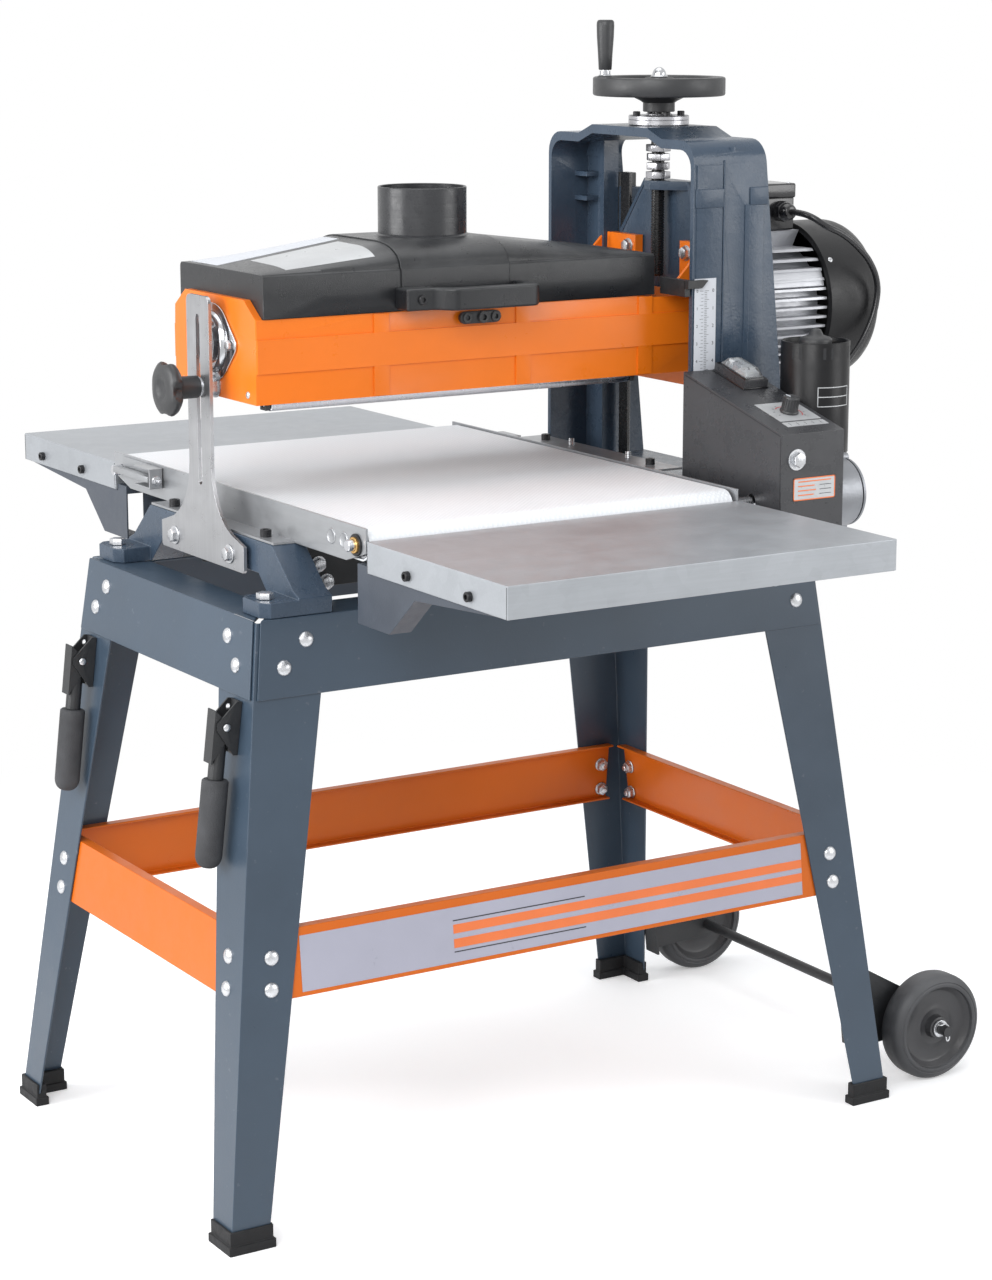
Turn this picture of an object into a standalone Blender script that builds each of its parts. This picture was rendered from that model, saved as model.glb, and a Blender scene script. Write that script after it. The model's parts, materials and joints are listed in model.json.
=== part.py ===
"""Open-ended drum sander on a sheet-metal stand, as separate solid pieces.

Metres, +Z up. The drum axis runs along X, with the motor and column at the +X end, and
stock is fed along +Y. Places below are measured from the middle of the stand on the floor.
"""
from math import atan, cos, hypot, pi, radians, sin, sqrt

import bmesh
import bpy
from mathutils import Matrix, Vector

# Place of the stand's middle, which puts the whole machine's box around the origin
STAND_X = -0.07725

# Room between two pieces that touch
GAP = 0.0003
SHEET = 0.0025

# Stand
STAND_TOP = 0.6633
STAND_HALF = Vector((0.3645, 0.2118))
LEG_TOP = Vector((0.3620, 0.2093))
LEG_FOOT = Vector((0.4385, 0.2775))
LEG_BOTTOM = 0.012
LEG_WIDTH_TOP = 0.086
LEG_WIDTH_FOOT = 0.045
RAIL_DEPTH = 0.083
RAIL_FLANGE = Vector((0.052, 0.060))
BRACE_BOTTOM = 0.260
BRACE_TOP = 0.335
FOOT_OUTSIDE = Vector((0.4427, 0.2814))
FOOT_ARM = Vector((0.0553, 0.0520))

# Wheel set behind the +X legs
WHEEL_CENTRE = Vector((0.531, 0.0, 0.0668))
WHEEL_RADIUS = 0.0662
WHEEL_FACE = 0.266
WHEEL_WIDTH = 0.038
AXLE_RADIUS = 0.0065

# Folding lift handles on the -X legs
LIFT_PIVOT = Vector((-0.3920, 0.1835, 0.5505))

# Conveyor bed and tables
BELT_LEFT = -0.2785
BELT_RIGHT = 0.1795
BELT_TOP = 0.766
BELT_THICK = 0.002
ROLLER_Y = 0.285
ROLLER_Z = 0.7485
ROLLER_RADIUS = 0.0152
SHAFT_RADIUS = 0.006
RAIL_TOP = 0.768
RAIL_BOTTOM = 0.729
TABLE_LEFT = -0.2837
TABLE_RIGHT = 0.1867
TABLE_INNER = 0.3048
TABLE_OUTER = 0.5770
TABLE_TOP = 0.755
TABLE_FLANGE = 0.0332

# Base castings
CASTING_BOTTOM = STAND_TOP + GAP
BEAM_TOP = 0.7125
BEAM_HALF = 0.100
COLUMN_FRONT = 0.228
COLUMN_HALF = 0.151
COLUMN_WALL = 0.006
COLUMN_TOP = 1.148
COLUMN_SHOULDER = 1.137
SCREW_X = 0.284

# Sanding head
DRUM_Z = 0.932
DRUM_RADIUS = 0.0655
DRUM_LEFT = -0.2525
DRUM_RIGHT = 0.1525
HEAD_LEFT = -0.300
HEAD_RIGHT = 0.2117
COVER_LEFT = -0.2915
HEAD_HALF = 0.100
HEAD_BOTTOM = 0.8706
HEAD_TOP = 0.9615
FLANGE_X = 0.284
FLANGE_THICK = 0.0105
COVER_EDGE = 1.0078
COVER_CROWN = 1.0335
SADDLE_LEFT = -0.124
SADDLE_RIGHT = 0.0165
PORT_X = -0.0376
PORT_RADIUS = 0.050
PORT_TOP = 1.0885
PRESS_Y = 0.0845
PRESS_Z = 0.870
PRESS_RADIUS = 0.008

# Main motor
MOTOR_LEFT = 0.3745
MOTOR_RIGHT = 0.4700
MOTOR_RADIUS = 0.0885
COWL_RIGHT = 0.555
COWL_RADIUS = 0.0965

# Feed drive and controls
FEED_MOTOR = Vector((0.3430, -0.232))
FEED_MOTOR_RADIUS = 0.0393
BOX_LEFT = 0.2165
BOX_RIGHT = 0.302
BOX_BACK = -0.1525
BOX_FRONT = -0.340
BOX_BACK_TOP = 0.8785
BOX_FRONT_TOP = 0.8295
BOX_BOTTOM = 0.700
BOX_SLOPE = atan((BOX_BACK_TOP - BOX_FRONT_TOP) / (BOX_BACK - BOX_FRONT))
SWITCH = Vector((0.272, -0.186))
KNOB = Vector((0.2675, -0.284))

for old in list(bpy.data.objects):
    bpy.data.objects.remove(old, do_unlink=True)

machine = bpy.data.objects.new("machine", None)
machine.location = (STAND_X, 0.0, 0.0)
bpy.context.scene.collection.objects.link(machine)


# ---------------------------------------------------------------- helpers

def paint(name, colour, roughness, metallic=0.0):
    """A plain Principled material."""
    material = bpy.data.materials.new(name)
    material.use_nodes = True
    shader = material.node_tree.nodes["Principled BSDF"]
    shader.inputs["Base Color"].default_value = (*colour, 1.0)
    shader.inputs["Roughness"].default_value = roughness
    shader.inputs["Metallic"].default_value = metallic
    return material


def finish(name, bm, material, origin=(0.0, 0.0, 0.0), smooth=True):
    """Make the named object from a mesh drawn in place, with its origin where it turns."""
    bmesh.ops.remove_doubles(bm, verts=bm.verts, dist=1e-6)
    bmesh.ops.recalc_face_normals(bm, faces=bm.faces)
    bmesh.ops.translate(bm, verts=bm.verts, vec=-Vector(origin))
    mesh = bpy.data.meshes.new(name)
    bm.to_mesh(mesh)
    bm.free()
    mesh.materials.append(material)
    if smooth:
        mesh.shade_smooth()
        mesh.set_sharp_from_angle(angle=radians(30.0))
    piece = bpy.data.objects.new(name, mesh)
    bpy.context.scene.collection.objects.link(piece)
    piece.parent = machine
    piece.location = origin
    return piece


def box(low, high):
    """A block between two corners."""
    bm = bmesh.new()
    bmesh.ops.create_cube(bm, size=1.0)
    low, high = Vector(low), Vector(high)
    size = high - low
    bmesh.ops.scale(bm, vec=size, verts=bm.verts)
    bmesh.ops.translate(bm, vec=(low + high) / 2.0, verts=bm.verts)
    return bm


def prism(points, axis, start, end):
    """A flat outline pushed along an axis. Points are (y, z), (x, z) or (x, y)."""
    place = {"x": lambda a, b: (start, a, b),
             "y": lambda a, b: (a, start, b),
             "z": lambda a, b: (a, b, start)}[axis]
    push = Vector([end - start if letter == axis else 0.0 for letter in "xyz"])
    bm = bmesh.new()
    face = bm.faces.new([bm.verts.new(place(a, b)) for a, b in points])
    result = bmesh.ops.extrude_face_region(bm, geom=[face])
    moved = [item for item in result["geom"] if isinstance(item, bmesh.types.BMVert)]
    bmesh.ops.translate(bm, vec=push, verts=moved)
    bmesh.ops.recalc_face_normals(bm, faces=bm.faces)
    return bm


def turned(profile, axis, centre, steps=40):
    """A solid turned about an axis through centre. Profile points are (along, radius)."""
    along = {"x": Vector((1, 0, 0)), "y": Vector((0, 1, 0)), "z": Vector((0, 0, 1))}[axis]
    out = {"x": Vector((0, 1, 0)), "y": Vector((0, 0, 1)), "z": Vector((1, 0, 0))}[axis]
    centre = Vector(centre)
    bm = bmesh.new()
    ring = [bm.verts.new(centre + along * a + out * r) for a, r in profile]
    edges = [bm.edges.new((ring[i], ring[i + 1])) for i in range(len(ring) - 1)]
    if min(r for a, r in profile) > 1e-6:
        edges.append(bm.edges.new((ring[-1], ring[0])))
    bmesh.ops.spin(bm, geom=ring + edges, cent=centre, axis=along, angle=2.0 * pi,
                   steps=steps, use_merge=True)
    bmesh.ops.remove_doubles(bm, verts=bm.verts, dist=1e-6)
    bmesh.ops.recalc_face_normals(bm, faces=bm.faces)
    return bm


def rod(axis, centre, start, end, radius, steps=24):
    """A round bar along an axis, from start to end on that axis."""
    profile = [(start, 0.0), (start, radius), (end, radius), (end, 0.0)]
    return turned(profile, axis, centre, steps)


def tube(axis, centre, start, end, inner, outer, steps=32):
    """A round tube along an axis."""
    profile = [(start, inner), (start, outer), (end, outer), (end, inner)]
    return turned(profile, axis, centre, steps)


def arc(centre, radius, first, last, steps):
    """Points of an arc in degrees, both ends included."""
    angles = [radians(first + (last - first) * i / steps) for i in range(steps + 1)]
    return [(centre[0] + radius * cos(a), centre[1] + radius * sin(a)) for a in angles]


def moved_by(bm, matrix):
    """Turn or move a mesh before it is joined."""
    bmesh.ops.transform(bm, matrix=matrix, verts=bm.verts)
    return bm


def about(point, angle, axis):
    """A turn about a line through a point."""
    point = Vector(point)
    return Matrix.Translation(point) @ Matrix.Rotation(angle, 4, axis) @ Matrix.Translation(-point)


def combine(first, second, operation):
    """Union or difference of two closed meshes, by Blender's Boolean."""
    pair = []
    for bm in (first, second):
        bmesh.ops.recalc_face_normals(bm, faces=bm.faces)
        mesh = bpy.data.meshes.new("shape")
        bm.to_mesh(mesh)
        bm.free()
        holder = bpy.data.objects.new("shape", mesh)
        bpy.context.scene.collection.objects.link(holder)
        pair.append(holder)
    target, tool = pair
    boolean = target.modifiers.new("boolean", "BOOLEAN")
    boolean.operation = operation
    boolean.solver = "EXACT"
    boolean.object = tool
    graph = bpy.context.evaluated_depsgraph_get()
    solved = bpy.data.meshes.new_from_object(target.evaluated_get(graph))
    result = bmesh.new()
    result.from_mesh(solved)
    for holder in pair:
        mesh = holder.data
        bpy.data.objects.remove(holder, do_unlink=True)
        bpy.data.meshes.remove(mesh)
    bpy.data.meshes.remove(solved)
    bmesh.ops.remove_doubles(result, verts=result.verts, dist=1e-6)
    bmesh.ops.dissolve_degenerate(result, edges=result.edges, dist=1e-6)
    return result


def join(first, *others):
    """All the shapes as one solid."""
    for other in others:
        first = combine(first, other, "UNION")
    return first


def cut(first, *tools):
    """A solid with each tool taken out of it."""
    for tool in tools:
        first = combine(first, tool, "DIFFERENCE")
    return first


def mirror_y(points):
    """An outline given for +Y, closed with its mirror image."""
    return list(points) + [(-y, z) for y, z in reversed(points)]


# ---------------------------------------------------------------- materials

casting_blue = paint("casting_blue", (0.105, 0.125, 0.16), 0.45)
stand_blue = paint("stand_blue", (0.07, 0.095, 0.13), 0.4)
orange = paint("orange", (0.86, 0.22, 0.03), 0.35)
black_plastic = paint("black_plastic", (0.03, 0.03, 0.032), 0.55)
black_paint = paint("black_paint", (0.02, 0.02, 0.022), 0.5)
rubber = paint("rubber", (0.02, 0.02, 0.02), 0.8)
galvanised = paint("galvanised", (0.62, 0.63, 0.64), 0.35, 1.0)
bright_steel = paint("bright_steel", (0.75, 0.75, 0.75), 0.2, 1.0)
aluminium = paint("aluminium", (0.72, 0.73, 0.74), 0.35, 1.0)
abrasive = paint("abrasive", (0.42, 0.20, 0.12), 0.9)
belt_white = paint("belt_white", (0.85, 0.85, 0.84), 0.8)
switch_clear = paint("switch_clear", (0.75, 0.76, 0.76), 0.2)


# ---------------------------------------------------------------- stand

def leg_outside(z):
    """The leg's outer corner at a height, as (x, y)."""
    share = (STAND_TOP - z) / (STAND_TOP - LEG_BOTTOM)
    return LEG_TOP + (LEG_FOOT - LEG_TOP) * share


def leg_width(z):
    """Width of the leg's two flanges at a height."""
    share = (STAND_TOP - z) / (STAND_TOP - LEG_BOTTOM)
    return LEG_WIDTH_TOP + (LEG_WIDTH_FOOT - LEG_WIDTH_TOP) * share


def leg_shape(bottom, top, thickness, grow=0.0):
    """The +X +Y leg as a leaning angle section between two heights."""
    bm = bmesh.new()
    rings = []
    for z in (bottom, top):
        corner = leg_outside(z) + Vector((grow, grow))
        width = leg_width(z) + 2.0 * grow
        wall = thickness + 2.0 * grow
        outline = [corner,
                   corner - Vector((width, 0.0)),
                   corner - Vector((width, wall)),
                   corner - Vector((wall, wall)),
                   corner - Vector((wall, width)),
                   corner - Vector((0.0, width))]
        rings.append([bm.verts.new((point.x, point.y, z)) for point in outline])
    count = len(rings[0])
    bm.faces.new(rings[0])
    bm.faces.new(rings[1])
    for i in range(count):
        j = (i + 1) % count
        bm.faces.new((rings[0][i], rings[0][j], rings[1][j], rings[1][i]))
    bmesh.ops.recalc_face_normals(bm, faces=bm.faces)
    return bm


def flipped(bm, x_sign, y_sign):
    """A mesh drawn in the +X +Y corner, mirrored into another corner."""
    bmesh.ops.scale(bm, vec=(x_sign, y_sign, 1.0), verts=bm.verts)
    bmesh.ops.recalc_face_normals(bm, faces=bm.faces)
    return bm


CORNERS = {"front_left": (-1, -1), "front_right": (1, -1),
           "rear_left": (-1, 1), "rear_right": (1, 1)}


def make_legs():
    for place, signs in CORNERS.items():
        shape = leg_shape(LEG_BOTTOM, STAND_TOP - SHEET - GAP, SHEET)
        finish("leg_" + place, flipped(shape, *signs), stand_blue, smooth=False)


def make_feet():
    """Rubber boots: an angle-shaped sole with a slot that the leg stands in."""
    boot_height = 0.026
    sole_height = 0.010
    boot_inset = 0.0022
    for place, signs in CORNERS.items():
        corner, arm = FOOT_OUTSIDE, FOOT_ARM
        thick = 0.0165
        sole = [(corner.x, corner.y), (corner.x - arm.x, corner.y),
                (corner.x - arm.x, corner.y - thick), (corner.x - thick, corner.y - thick),
                (corner.x - thick, corner.y - arm.y), (corner.x, corner.y - arm.y)]
        boot_corner = corner - Vector((boot_inset, boot_inset))
        wall = thick - 2.0 * boot_inset
        boot = [(boot_corner.x, boot_corner.y),
                (corner.x - arm.x + boot_inset, boot_corner.y),
                (corner.x - arm.x + boot_inset, boot_corner.y - wall),
                (boot_corner.x - wall, boot_corner.y - wall),
                (boot_corner.x - wall, corner.y - arm.y + boot_inset),
                (boot_corner.x, corner.y - arm.y + boot_inset)]
        shape = join(prism(sole, "z", 0.0, sole_height),
                     prism(boot, "z", sole_height / 2.0, boot_height))
        slot = leg_shape(LEG_BOTTOM - GAP, boot_height + 0.01, SHEET, grow=GAP)
        finish("foot_" + place, flipped(cut(shape, slot), *signs), rubber)


def leaning_rail(along, name):
    """A rail: a leaning web outside the legs with a flat flange on top, mitred at its ends."""
    across = 1 if along == 0 else 0
    lean = (LEG_FOOT - LEG_TOP)[across] / (STAND_TOP - LEG_BOTTOM)
    outer_top = STAND_HALF[across]
    drop = RAIL_DEPTH
    half = STAND_HALF[along] - 0.0065
    flange = RAIL_FLANGE[across]
    end_lean = (LEG_FOOT - LEG_TOP)[along] / (STAND_TOP - LEG_BOTTOM) * drop
    profile = [(outer_top, STAND_TOP), (outer_top + lean * drop, STAND_TOP - drop),
               (outer_top + lean * drop - SHEET + 0.0005, STAND_TOP - drop),
               (outer_top - SHEET + 0.0005, STAND_TOP - SHEET),
               (outer_top - flange, STAND_TOP - SHEET), (outer_top - flange, STAND_TOP)]
    axis = "xy"[along]
    bm = prism(profile, axis, -half, half)
    # The flange's ends are cut back so that two rails meet at the corner with a gap
    for vertex in bm.verts:
        place = vertex.co[across]
        inside = outer_top - place
        if inside > SHEET:
            sign = 1.0 if vertex.co[along] > 0.0 else -1.0
            vertex.co[along] = sign * (half - inside * RAIL_FLANGE[along] / RAIL_FLANGE[across])
        elif vertex.co.z < STAND_TOP - drop / 2.0:
            vertex.co[along] *= 1.0 + end_lean / half
    return bm


def make_rails():
    for name, along, sign in (("front", 0, -1), ("rear", 0, 1), ("left", 1, -1), ("right", 1, 1)):
        shape = leaning_rail(along, name)
        signs = (1, sign) if along == 0 else (sign, 1)
        finish("rail_" + name, flipped(shape, *signs), stand_blue, smooth=False)


def make_braces():
    """Orange channels bolted inside the legs, with a flange along the top and the bottom."""
    lip = 0.013
    for name, along, sign in (("front", 0, -1), ("rear", 0, 1), ("left", 1, -1), ("right", 1, 1)):
        across = 1 - along
        outer = {z: leg_outside(z)[across] - SHEET - GAP for z in (BRACE_BOTTOM, BRACE_TOP)}
        low, high = outer[BRACE_BOTTOM], outer[BRACE_TOP]
        profile = [(low, BRACE_BOTTOM), (low - lip, BRACE_BOTTOM),
                   (low - lip, BRACE_BOTTOM + SHEET), (low - SHEET, BRACE_BOTTOM + SHEET),
                   (high - SHEET, BRACE_TOP - SHEET), (high - lip, BRACE_TOP - SHEET),
                   (high - lip, BRACE_TOP), (high, BRACE_TOP)]
        corner = leg_outside(BRACE_TOP)[along]
        half = corner - SHEET - lip - 4.0 * GAP - 0.002
        shape = prism(profile, "xy"[along], -half, half)
        signs = (1, sign) if along == 0 else (sign, 1)
        finish("brace_" + name, flipped(shape, *signs), orange, smooth=False)


# ---------------------------------------------------------------- wheels and lift handles

def make_axle_frame():
    """The round axle with a triangular plate and a leaning foot at each leg, as one weldment."""
    plate_y = 0.2215
    plate_thick = 0.003
    x, z = WHEEL_CENTRE.x, WHEEL_CENTRE.z
    top, bottom = 0.160, 0.046
    face = [leg_outside(height).x + GAP + 0.0002 for height in (top, bottom)]
    triangle = [(face[0], top), (x + 0.014, z + 0.022), (x + 0.014, z - 0.014),
                (face[1], bottom)]
    foot = [(face[0], top), (face[0] + 0.003, top), (face[1] + 0.003, bottom), (face[1], bottom)]
    shape = rod("y", (x, 0.0, z), -WHEEL_FACE - 0.016, WHEEL_FACE + 0.016, AXLE_RADIUS, 20)
    for sign in (-1, 1):
        near, far = sorted((sign * plate_y, sign * (plate_y + plate_thick)))
        foot_near, foot_far = sorted((sign * (plate_y - 0.024), sign * (plate_y + plate_thick)))
        shape = join(shape, prism(triangle, "y", near, far), prism(foot, "y", foot_near, foot_far))
    finish("axle_frame", shape, black_paint)


def make_wheels():
    """Solid rubber wheels with a recessed web and a hub boss."""
    bore = AXLE_RADIUS + 0.0006
    half = WHEEL_WIDTH / 2.0
    rim, web, boss = 0.0455, 0.007, 0.013
    profile = [(-half, bore), (-half, boss), (-web, boss), (-web, rim - 0.006),
               (-half + 0.004, rim - 0.003), (-half + 0.002, rim), (-half, rim + 0.004),
               (-half, WHEEL_RADIUS - 0.009), (-half + 0.006, WHEEL_RADIUS - 0.002),
               (-half + 0.012, WHEEL_RADIUS)]
    profile += [(-along, radius) for along, radius in reversed(profile)]
    for name, sign in (("front", -1), ("rear", 1)):
        centre = (WHEEL_CENTRE.x, sign * (WHEEL_FACE - half), WHEEL_CENTRE.z)
        finish("wheel_" + name, turned(profile, "y", centre, 36), rubber, centre)


def make_lift_handles():
    """A U bracket on each -X leg, and an arm with a round grip that hangs inside it."""
    lean = atan((LEG_FOOT - LEG_TOP).x / (STAND_TOP - LEG_BOTTOM))
    bracket_half, bracket_wall = 0.0116, 0.0022
    arm_half, arm_wall = 0.0091, 0.0016
    rise, drop = 0.0275, 0.0300
    for name, sign in (("front", -1), ("rear", 1)):
        pivot = Vector((LIFT_PIVOT.x, sign * LIFT_PIVOT.y, LIFT_PIVOT.z))
        tilt = about(pivot, lean, "Y")
        y = pivot.y
        # Drawn upright, then leant with the leg: the plate lies on the leg's outer face
        plate_x = pivot.x - (pivot.x + leg_outside(pivot.z).x) * cos(lean) - GAP - 0.0004
        cheek = [(plate_x, pivot.z + rise), (plate_x - 0.006, pivot.z + rise),
                 (pivot.x - 0.0100, pivot.z + 0.004), (pivot.x - 0.0100, pivot.z - 0.004),
                 (plate_x - 0.005, pivot.z - drop), (plate_x, pivot.z - drop)]
        bracket = box((plate_x - 0.0022, y - bracket_half, pivot.z - drop),
                      (plate_x, y + bracket_half, pivot.z + rise))
        for near in (y - bracket_half, y + bracket_half - bracket_wall):
            bracket = join(bracket, prism(cheek, "y", near, near + bracket_wall))
        bracket = join(bracket, rod("y", (pivot.x, 0.0, pivot.z), y - bracket_half - 0.0018,
                                    y + bracket_half + 0.0018, 0.0032, 14))
        finish("lift_bracket_" + name, moved_by(bracket, tilt), black_paint, pivot)

        plate = pivot.x - 0.0128
        flank = [(plate, pivot.z + 0.0170), (pivot.x - 0.004, pivot.z + 0.0100),
                 (pivot.x + 0.0065, pivot.z + 0.0050), (pivot.x + 0.0065, pivot.z - 0.0100),
                 (plate, pivot.z - 0.0400)]
        arm = box((plate, y - arm_half, pivot.z - 0.0400),
                  (plate + arm_wall, y + arm_half, pivot.z + 0.0170))
        for near in (y - arm_half, y + arm_half - arm_wall):
            arm = join(arm, prism(flank, "y", near, near + arm_wall))
        hole = rod("y", (pivot.x, 0.0, pivot.z), y - 0.030, y + 0.030, 0.0036, 14)
        arm = cut(arm, hole)
        tube_x = pivot.x - 0.0016
        arm = join(arm, rod("z", (tube_x, y, 0.0), pivot.z - 0.062, pivot.z - 0.012, 0.0086, 16))
        grip_profile = [(pivot.z - 0.1535, 0.0), (pivot.z - 0.1535, 0.0070),
                        (pivot.z - 0.1495, 0.0122), (pivot.z - 0.1430, 0.0144),
                        (pivot.z - 0.0600, 0.0144), (pivot.z - 0.0580, 0.0130),
                        (pivot.z - 0.0580, 0.0)]
        arm = join(arm, turned(grip_profile, "z", (tube_x, y, 0.0), 20))
        finish("lift_handle_" + name, moved_by(arm, tilt), black_plastic, pivot)


# ---------------------------------------------------------------- base castings

def make_outboard_casting():
    """The bridge-shaped casting that carries the bed's free side."""
    left, right = -0.312, -0.2722
    outline = mirror_y([(0.118, 0.694), (0.150, CASTING_BOTTOM), (0.210, CASTING_BOTTOM),
                        (0.210, 0.682), (0.196, 0.688), (0.150, RAIL_BOTTOM - GAP)])
    shape = prism(outline, "x", left, right)
    for sign in (-1, 1):
        pad = [(-0.354, sign * 0.163), (-0.354, sign * 0.200), (-0.345, sign * 0.210),
               (right, sign * 0.210), (right, sign * 0.152), (-0.345, sign * 0.152)]
        shape = join(shape, prism(pad, "z", CASTING_BOTTOM, 0.680))
    finish("outboard_casting", shape, casting_blue)


def make_crossbeam():
    """The channel between the two castings, with a seat for the bed's inner rail."""
    left, right = -0.2717, COLUMN_FRONT - 0.0005
    wall = 0.005
    bottom = 0.667
    profile = [(BEAM_HALF, bottom), (BEAM_HALF, BEAM_TOP), (-BEAM_HALF, BEAM_TOP),
               (-BEAM_HALF, bottom), (-BEAM_HALF + wall, bottom),
               (-BEAM_HALF + wall, BEAM_TOP - wall), (BEAM_HALF - wall, BEAM_TOP - wall),
               (BEAM_HALF - wall, bottom)]
    shape = prism(profile, "x", left, right)
    seat = box((0.188, -0.085, BEAM_TOP - 0.002), (0.2125, 0.085, RAIL_BOTTOM - GAP))
    finish("crossbeam", join(shape, seat), black_paint, smooth=False)


def column_back(z):
    """The column's +X edge, which slopes out towards its foot."""
    return 0.332 + 0.1 * (1.09 - z)


def make_column():
    """An inverted U of thin casting, with an inner web, guide ways and ribs in each leg."""
    foot = 0.737
    corner = 0.025
    half, wall = COLUMN_HALF, COLUMN_WALL
    outer = [(half, foot)]
    outer += arc((half - corner, COLUMN_SHOULDER - corner), corner, 0.0, 90.0, 6)
    outer += [(0.086, COLUMN_SHOULDER), (0.057, COLUMN_TOP)]
    inner = [(half - wall, foot)]
    inner += arc((half - wall - 0.021, 1.1265 - 0.021), 0.021, 0.0, 90.0, 6)
    inner += [(0.086, 1.1265), (0.057, 1.1375)]
    band = outer + [(-y, z) for y, z in reversed(outer)]
    band += inner_left_to_right(inner)
    shape = prism(band, "x", COLUMN_FRONT, COLUMN_FRONT + 0.1)
    for vertex in shape.verts:
        if vertex.co.x > COLUMN_FRONT + 0.05:
            vertex.co.x = column_back(vertex.co.z)
    base = box((COLUMN_FRONT, -half, CASTING_BOTTOM), (column_back(foot) + 0.002, half, foot + 0.001))
    hollow = box((COLUMN_FRONT + 0.012, -half + 0.012, CASTING_BOTTOM - 0.01),
                 (column_back(foot) - 0.010, half - 0.012, foot - 0.012))
    shape = join(shape, cut(base, hollow))
    for sign in (-1, 1):
        def between(low, high):
            return tuple(sorted((sign * low, sign * high)))
        web = between(0.118, half - wall / 2.0)
        guide = between(0.1072, 0.1205)
        lug = between(half - 0.004, 0.190)
        rib = between(0.119, half - wall / 2.0)
        shape = join(shape, box((0.281, web[0], foot - 0.001), (0.288, web[1], 1.129)))
        shape = join(shape, box((0.279, guide[0], foot - 0.002), (0.300, guide[1], 1.112)))
        shape = join(shape, box((0.279, guide[0], 1.106), (0.300, web[1], 1.131)))
        for height in (1.0535, 1.0825):
            shape = join(shape, box((0.262, rib[0], height), (0.284, rib[1], height + 0.0055)))
        shape = join(shape, box((0.245, lug[0], CASTING_BOTTOM), (0.350, lug[1], 0.679)))
    # Shallow raised panels on the outside of the front leg
    face = -half - 0.0012
    for low, high in (((0.2325, 0.800), (0.2680, 1.0640)), ((0.2325, 1.0790), (0.2680, 1.1100)),
                      ((0.300, 0.800), (0.326, 1.0640))):
        pad = box((low[0], face, low[1]), (high[0], -half + 0.002, high[1]))
        shape = join(shape, pad)
    screw_hole = rod("z", (SCREW_X, 0.0, 0.0), 1.10, 1.16, 0.0095, 24)
    finish("column", cut(shape, screw_hole), casting_blue)


def inner_left_to_right(inner):
    """The inside of the column's band, walked back from -Y to +Y."""
    return [(-y, z) for y, z in inner] + list(reversed(inner))


# ---------------------------------------------------------------- conveyor and tables

def make_bed():
    """Two pressed side rails joined by the plate that the belt slides on."""
    left_web, right_web = -0.284, 0.1825
    length = 0.3042
    flange = 0.026
    def web_outline():
        return [(-length, RAIL_TOP), (length, RAIL_TOP), (length, 0.742),
                (0.262, RAIL_BOTTOM), (-0.262, RAIL_BOTTOM), (-length, 0.742)]
    shape = prism(web_outline(), "x", left_web, left_web + SHEET)
    shape = join(shape, prism(web_outline(), "x", right_web, right_web + SHEET))
    plate = box((left_web + 0.001, -0.262, 0.7590), (right_web + 0.001, 0.262, 0.7637))
    shape = join(shape, plate)
    shape = join(shape, box((left_web - flange, -0.150, RAIL_BOTTOM),
                            (left_web + 0.001, 0.150, RAIL_BOTTOM + SHEET)))
    shape = join(shape, box((right_web + 0.001, -0.150, RAIL_BOTTOM),
                            (right_web + SHEET + 0.026, 0.150, RAIL_BOTTOM + SHEET)))
    shape = join(shape, box((right_web + 0.001, -0.148, RAIL_TOP - SHEET),
                            (0.2195, 0.148, RAIL_TOP)))
    for sign in (-1, 1):
        shape = cut(shape, rod("x", (0.0, sign * ROLLER_Y, ROLLER_Z), -0.35, 0.30,
                               SHAFT_RADIUS + 0.0006, 20))
    finish("conveyor_bed", shape, galvanised, smooth=False)


def make_belt():
    """The endless abrasive belt around both rollers."""
    outer = BELT_TOP - ROLLER_Z
    def loop(radius):
        front = arc((-ROLLER_Y, ROLLER_Z), radius, 90.0, 270.0, 10)
        rear = arc((ROLLER_Y, ROLLER_Z), radius, -90.0, 90.0, 10)
        return front + rear
    shape = cut(prism(loop(outer), "x", BELT_LEFT, BELT_RIGHT),
                prism(loop(outer - BELT_THICK), "x", BELT_LEFT - 0.01, BELT_RIGHT + 0.01))
    finish("conveyor_belt", shape, belt_white)


def roller_with_shaft(start, end, sign):
    """A roller between the rails with its shaft through both."""
    profile = [(start, 0.0), (start, SHAFT_RADIUS), (BELT_LEFT + 0.001, SHAFT_RADIUS),
               (BELT_LEFT + 0.001, ROLLER_RADIUS), (BELT_RIGHT - 0.001, ROLLER_RADIUS),
               (BELT_RIGHT - 0.001, SHAFT_RADIUS), (end, SHAFT_RADIUS), (end, 0.0)]
    return turned(profile, "x", (0.0, sign * ROLLER_Y, ROLLER_Z), 28)


def make_rollers():
    for name, end, sign in (("drive_roller", 0.325, -1), ("idler_roller", 0.200, 1)):
        centre = (0.0, sign * ROLLER_Y, ROLLER_Z)
        finish(name, roller_with_shaft(-0.296, end, sign), rubber, centre)


def make_tables():
    """Folded sheet trays beside the belt."""
    for name, sign in (("infeed_table", -1), ("outfeed_table", 1)):
        low, high = sorted((sign * TABLE_INNER, sign * TABLE_OUTER))
        tray = box((TABLE_LEFT, low, TABLE_TOP - TABLE_FLANGE), (TABLE_RIGHT, high, TABLE_TOP))
        inside = box((TABLE_LEFT + 0.002, low + 0.002, TABLE_TOP - 0.1),
                     (TABLE_RIGHT - 0.002, high - 0.002, TABLE_TOP - 0.002))
        finish(name, cut(tray, inside), galvanised, smooth=False)


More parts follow.
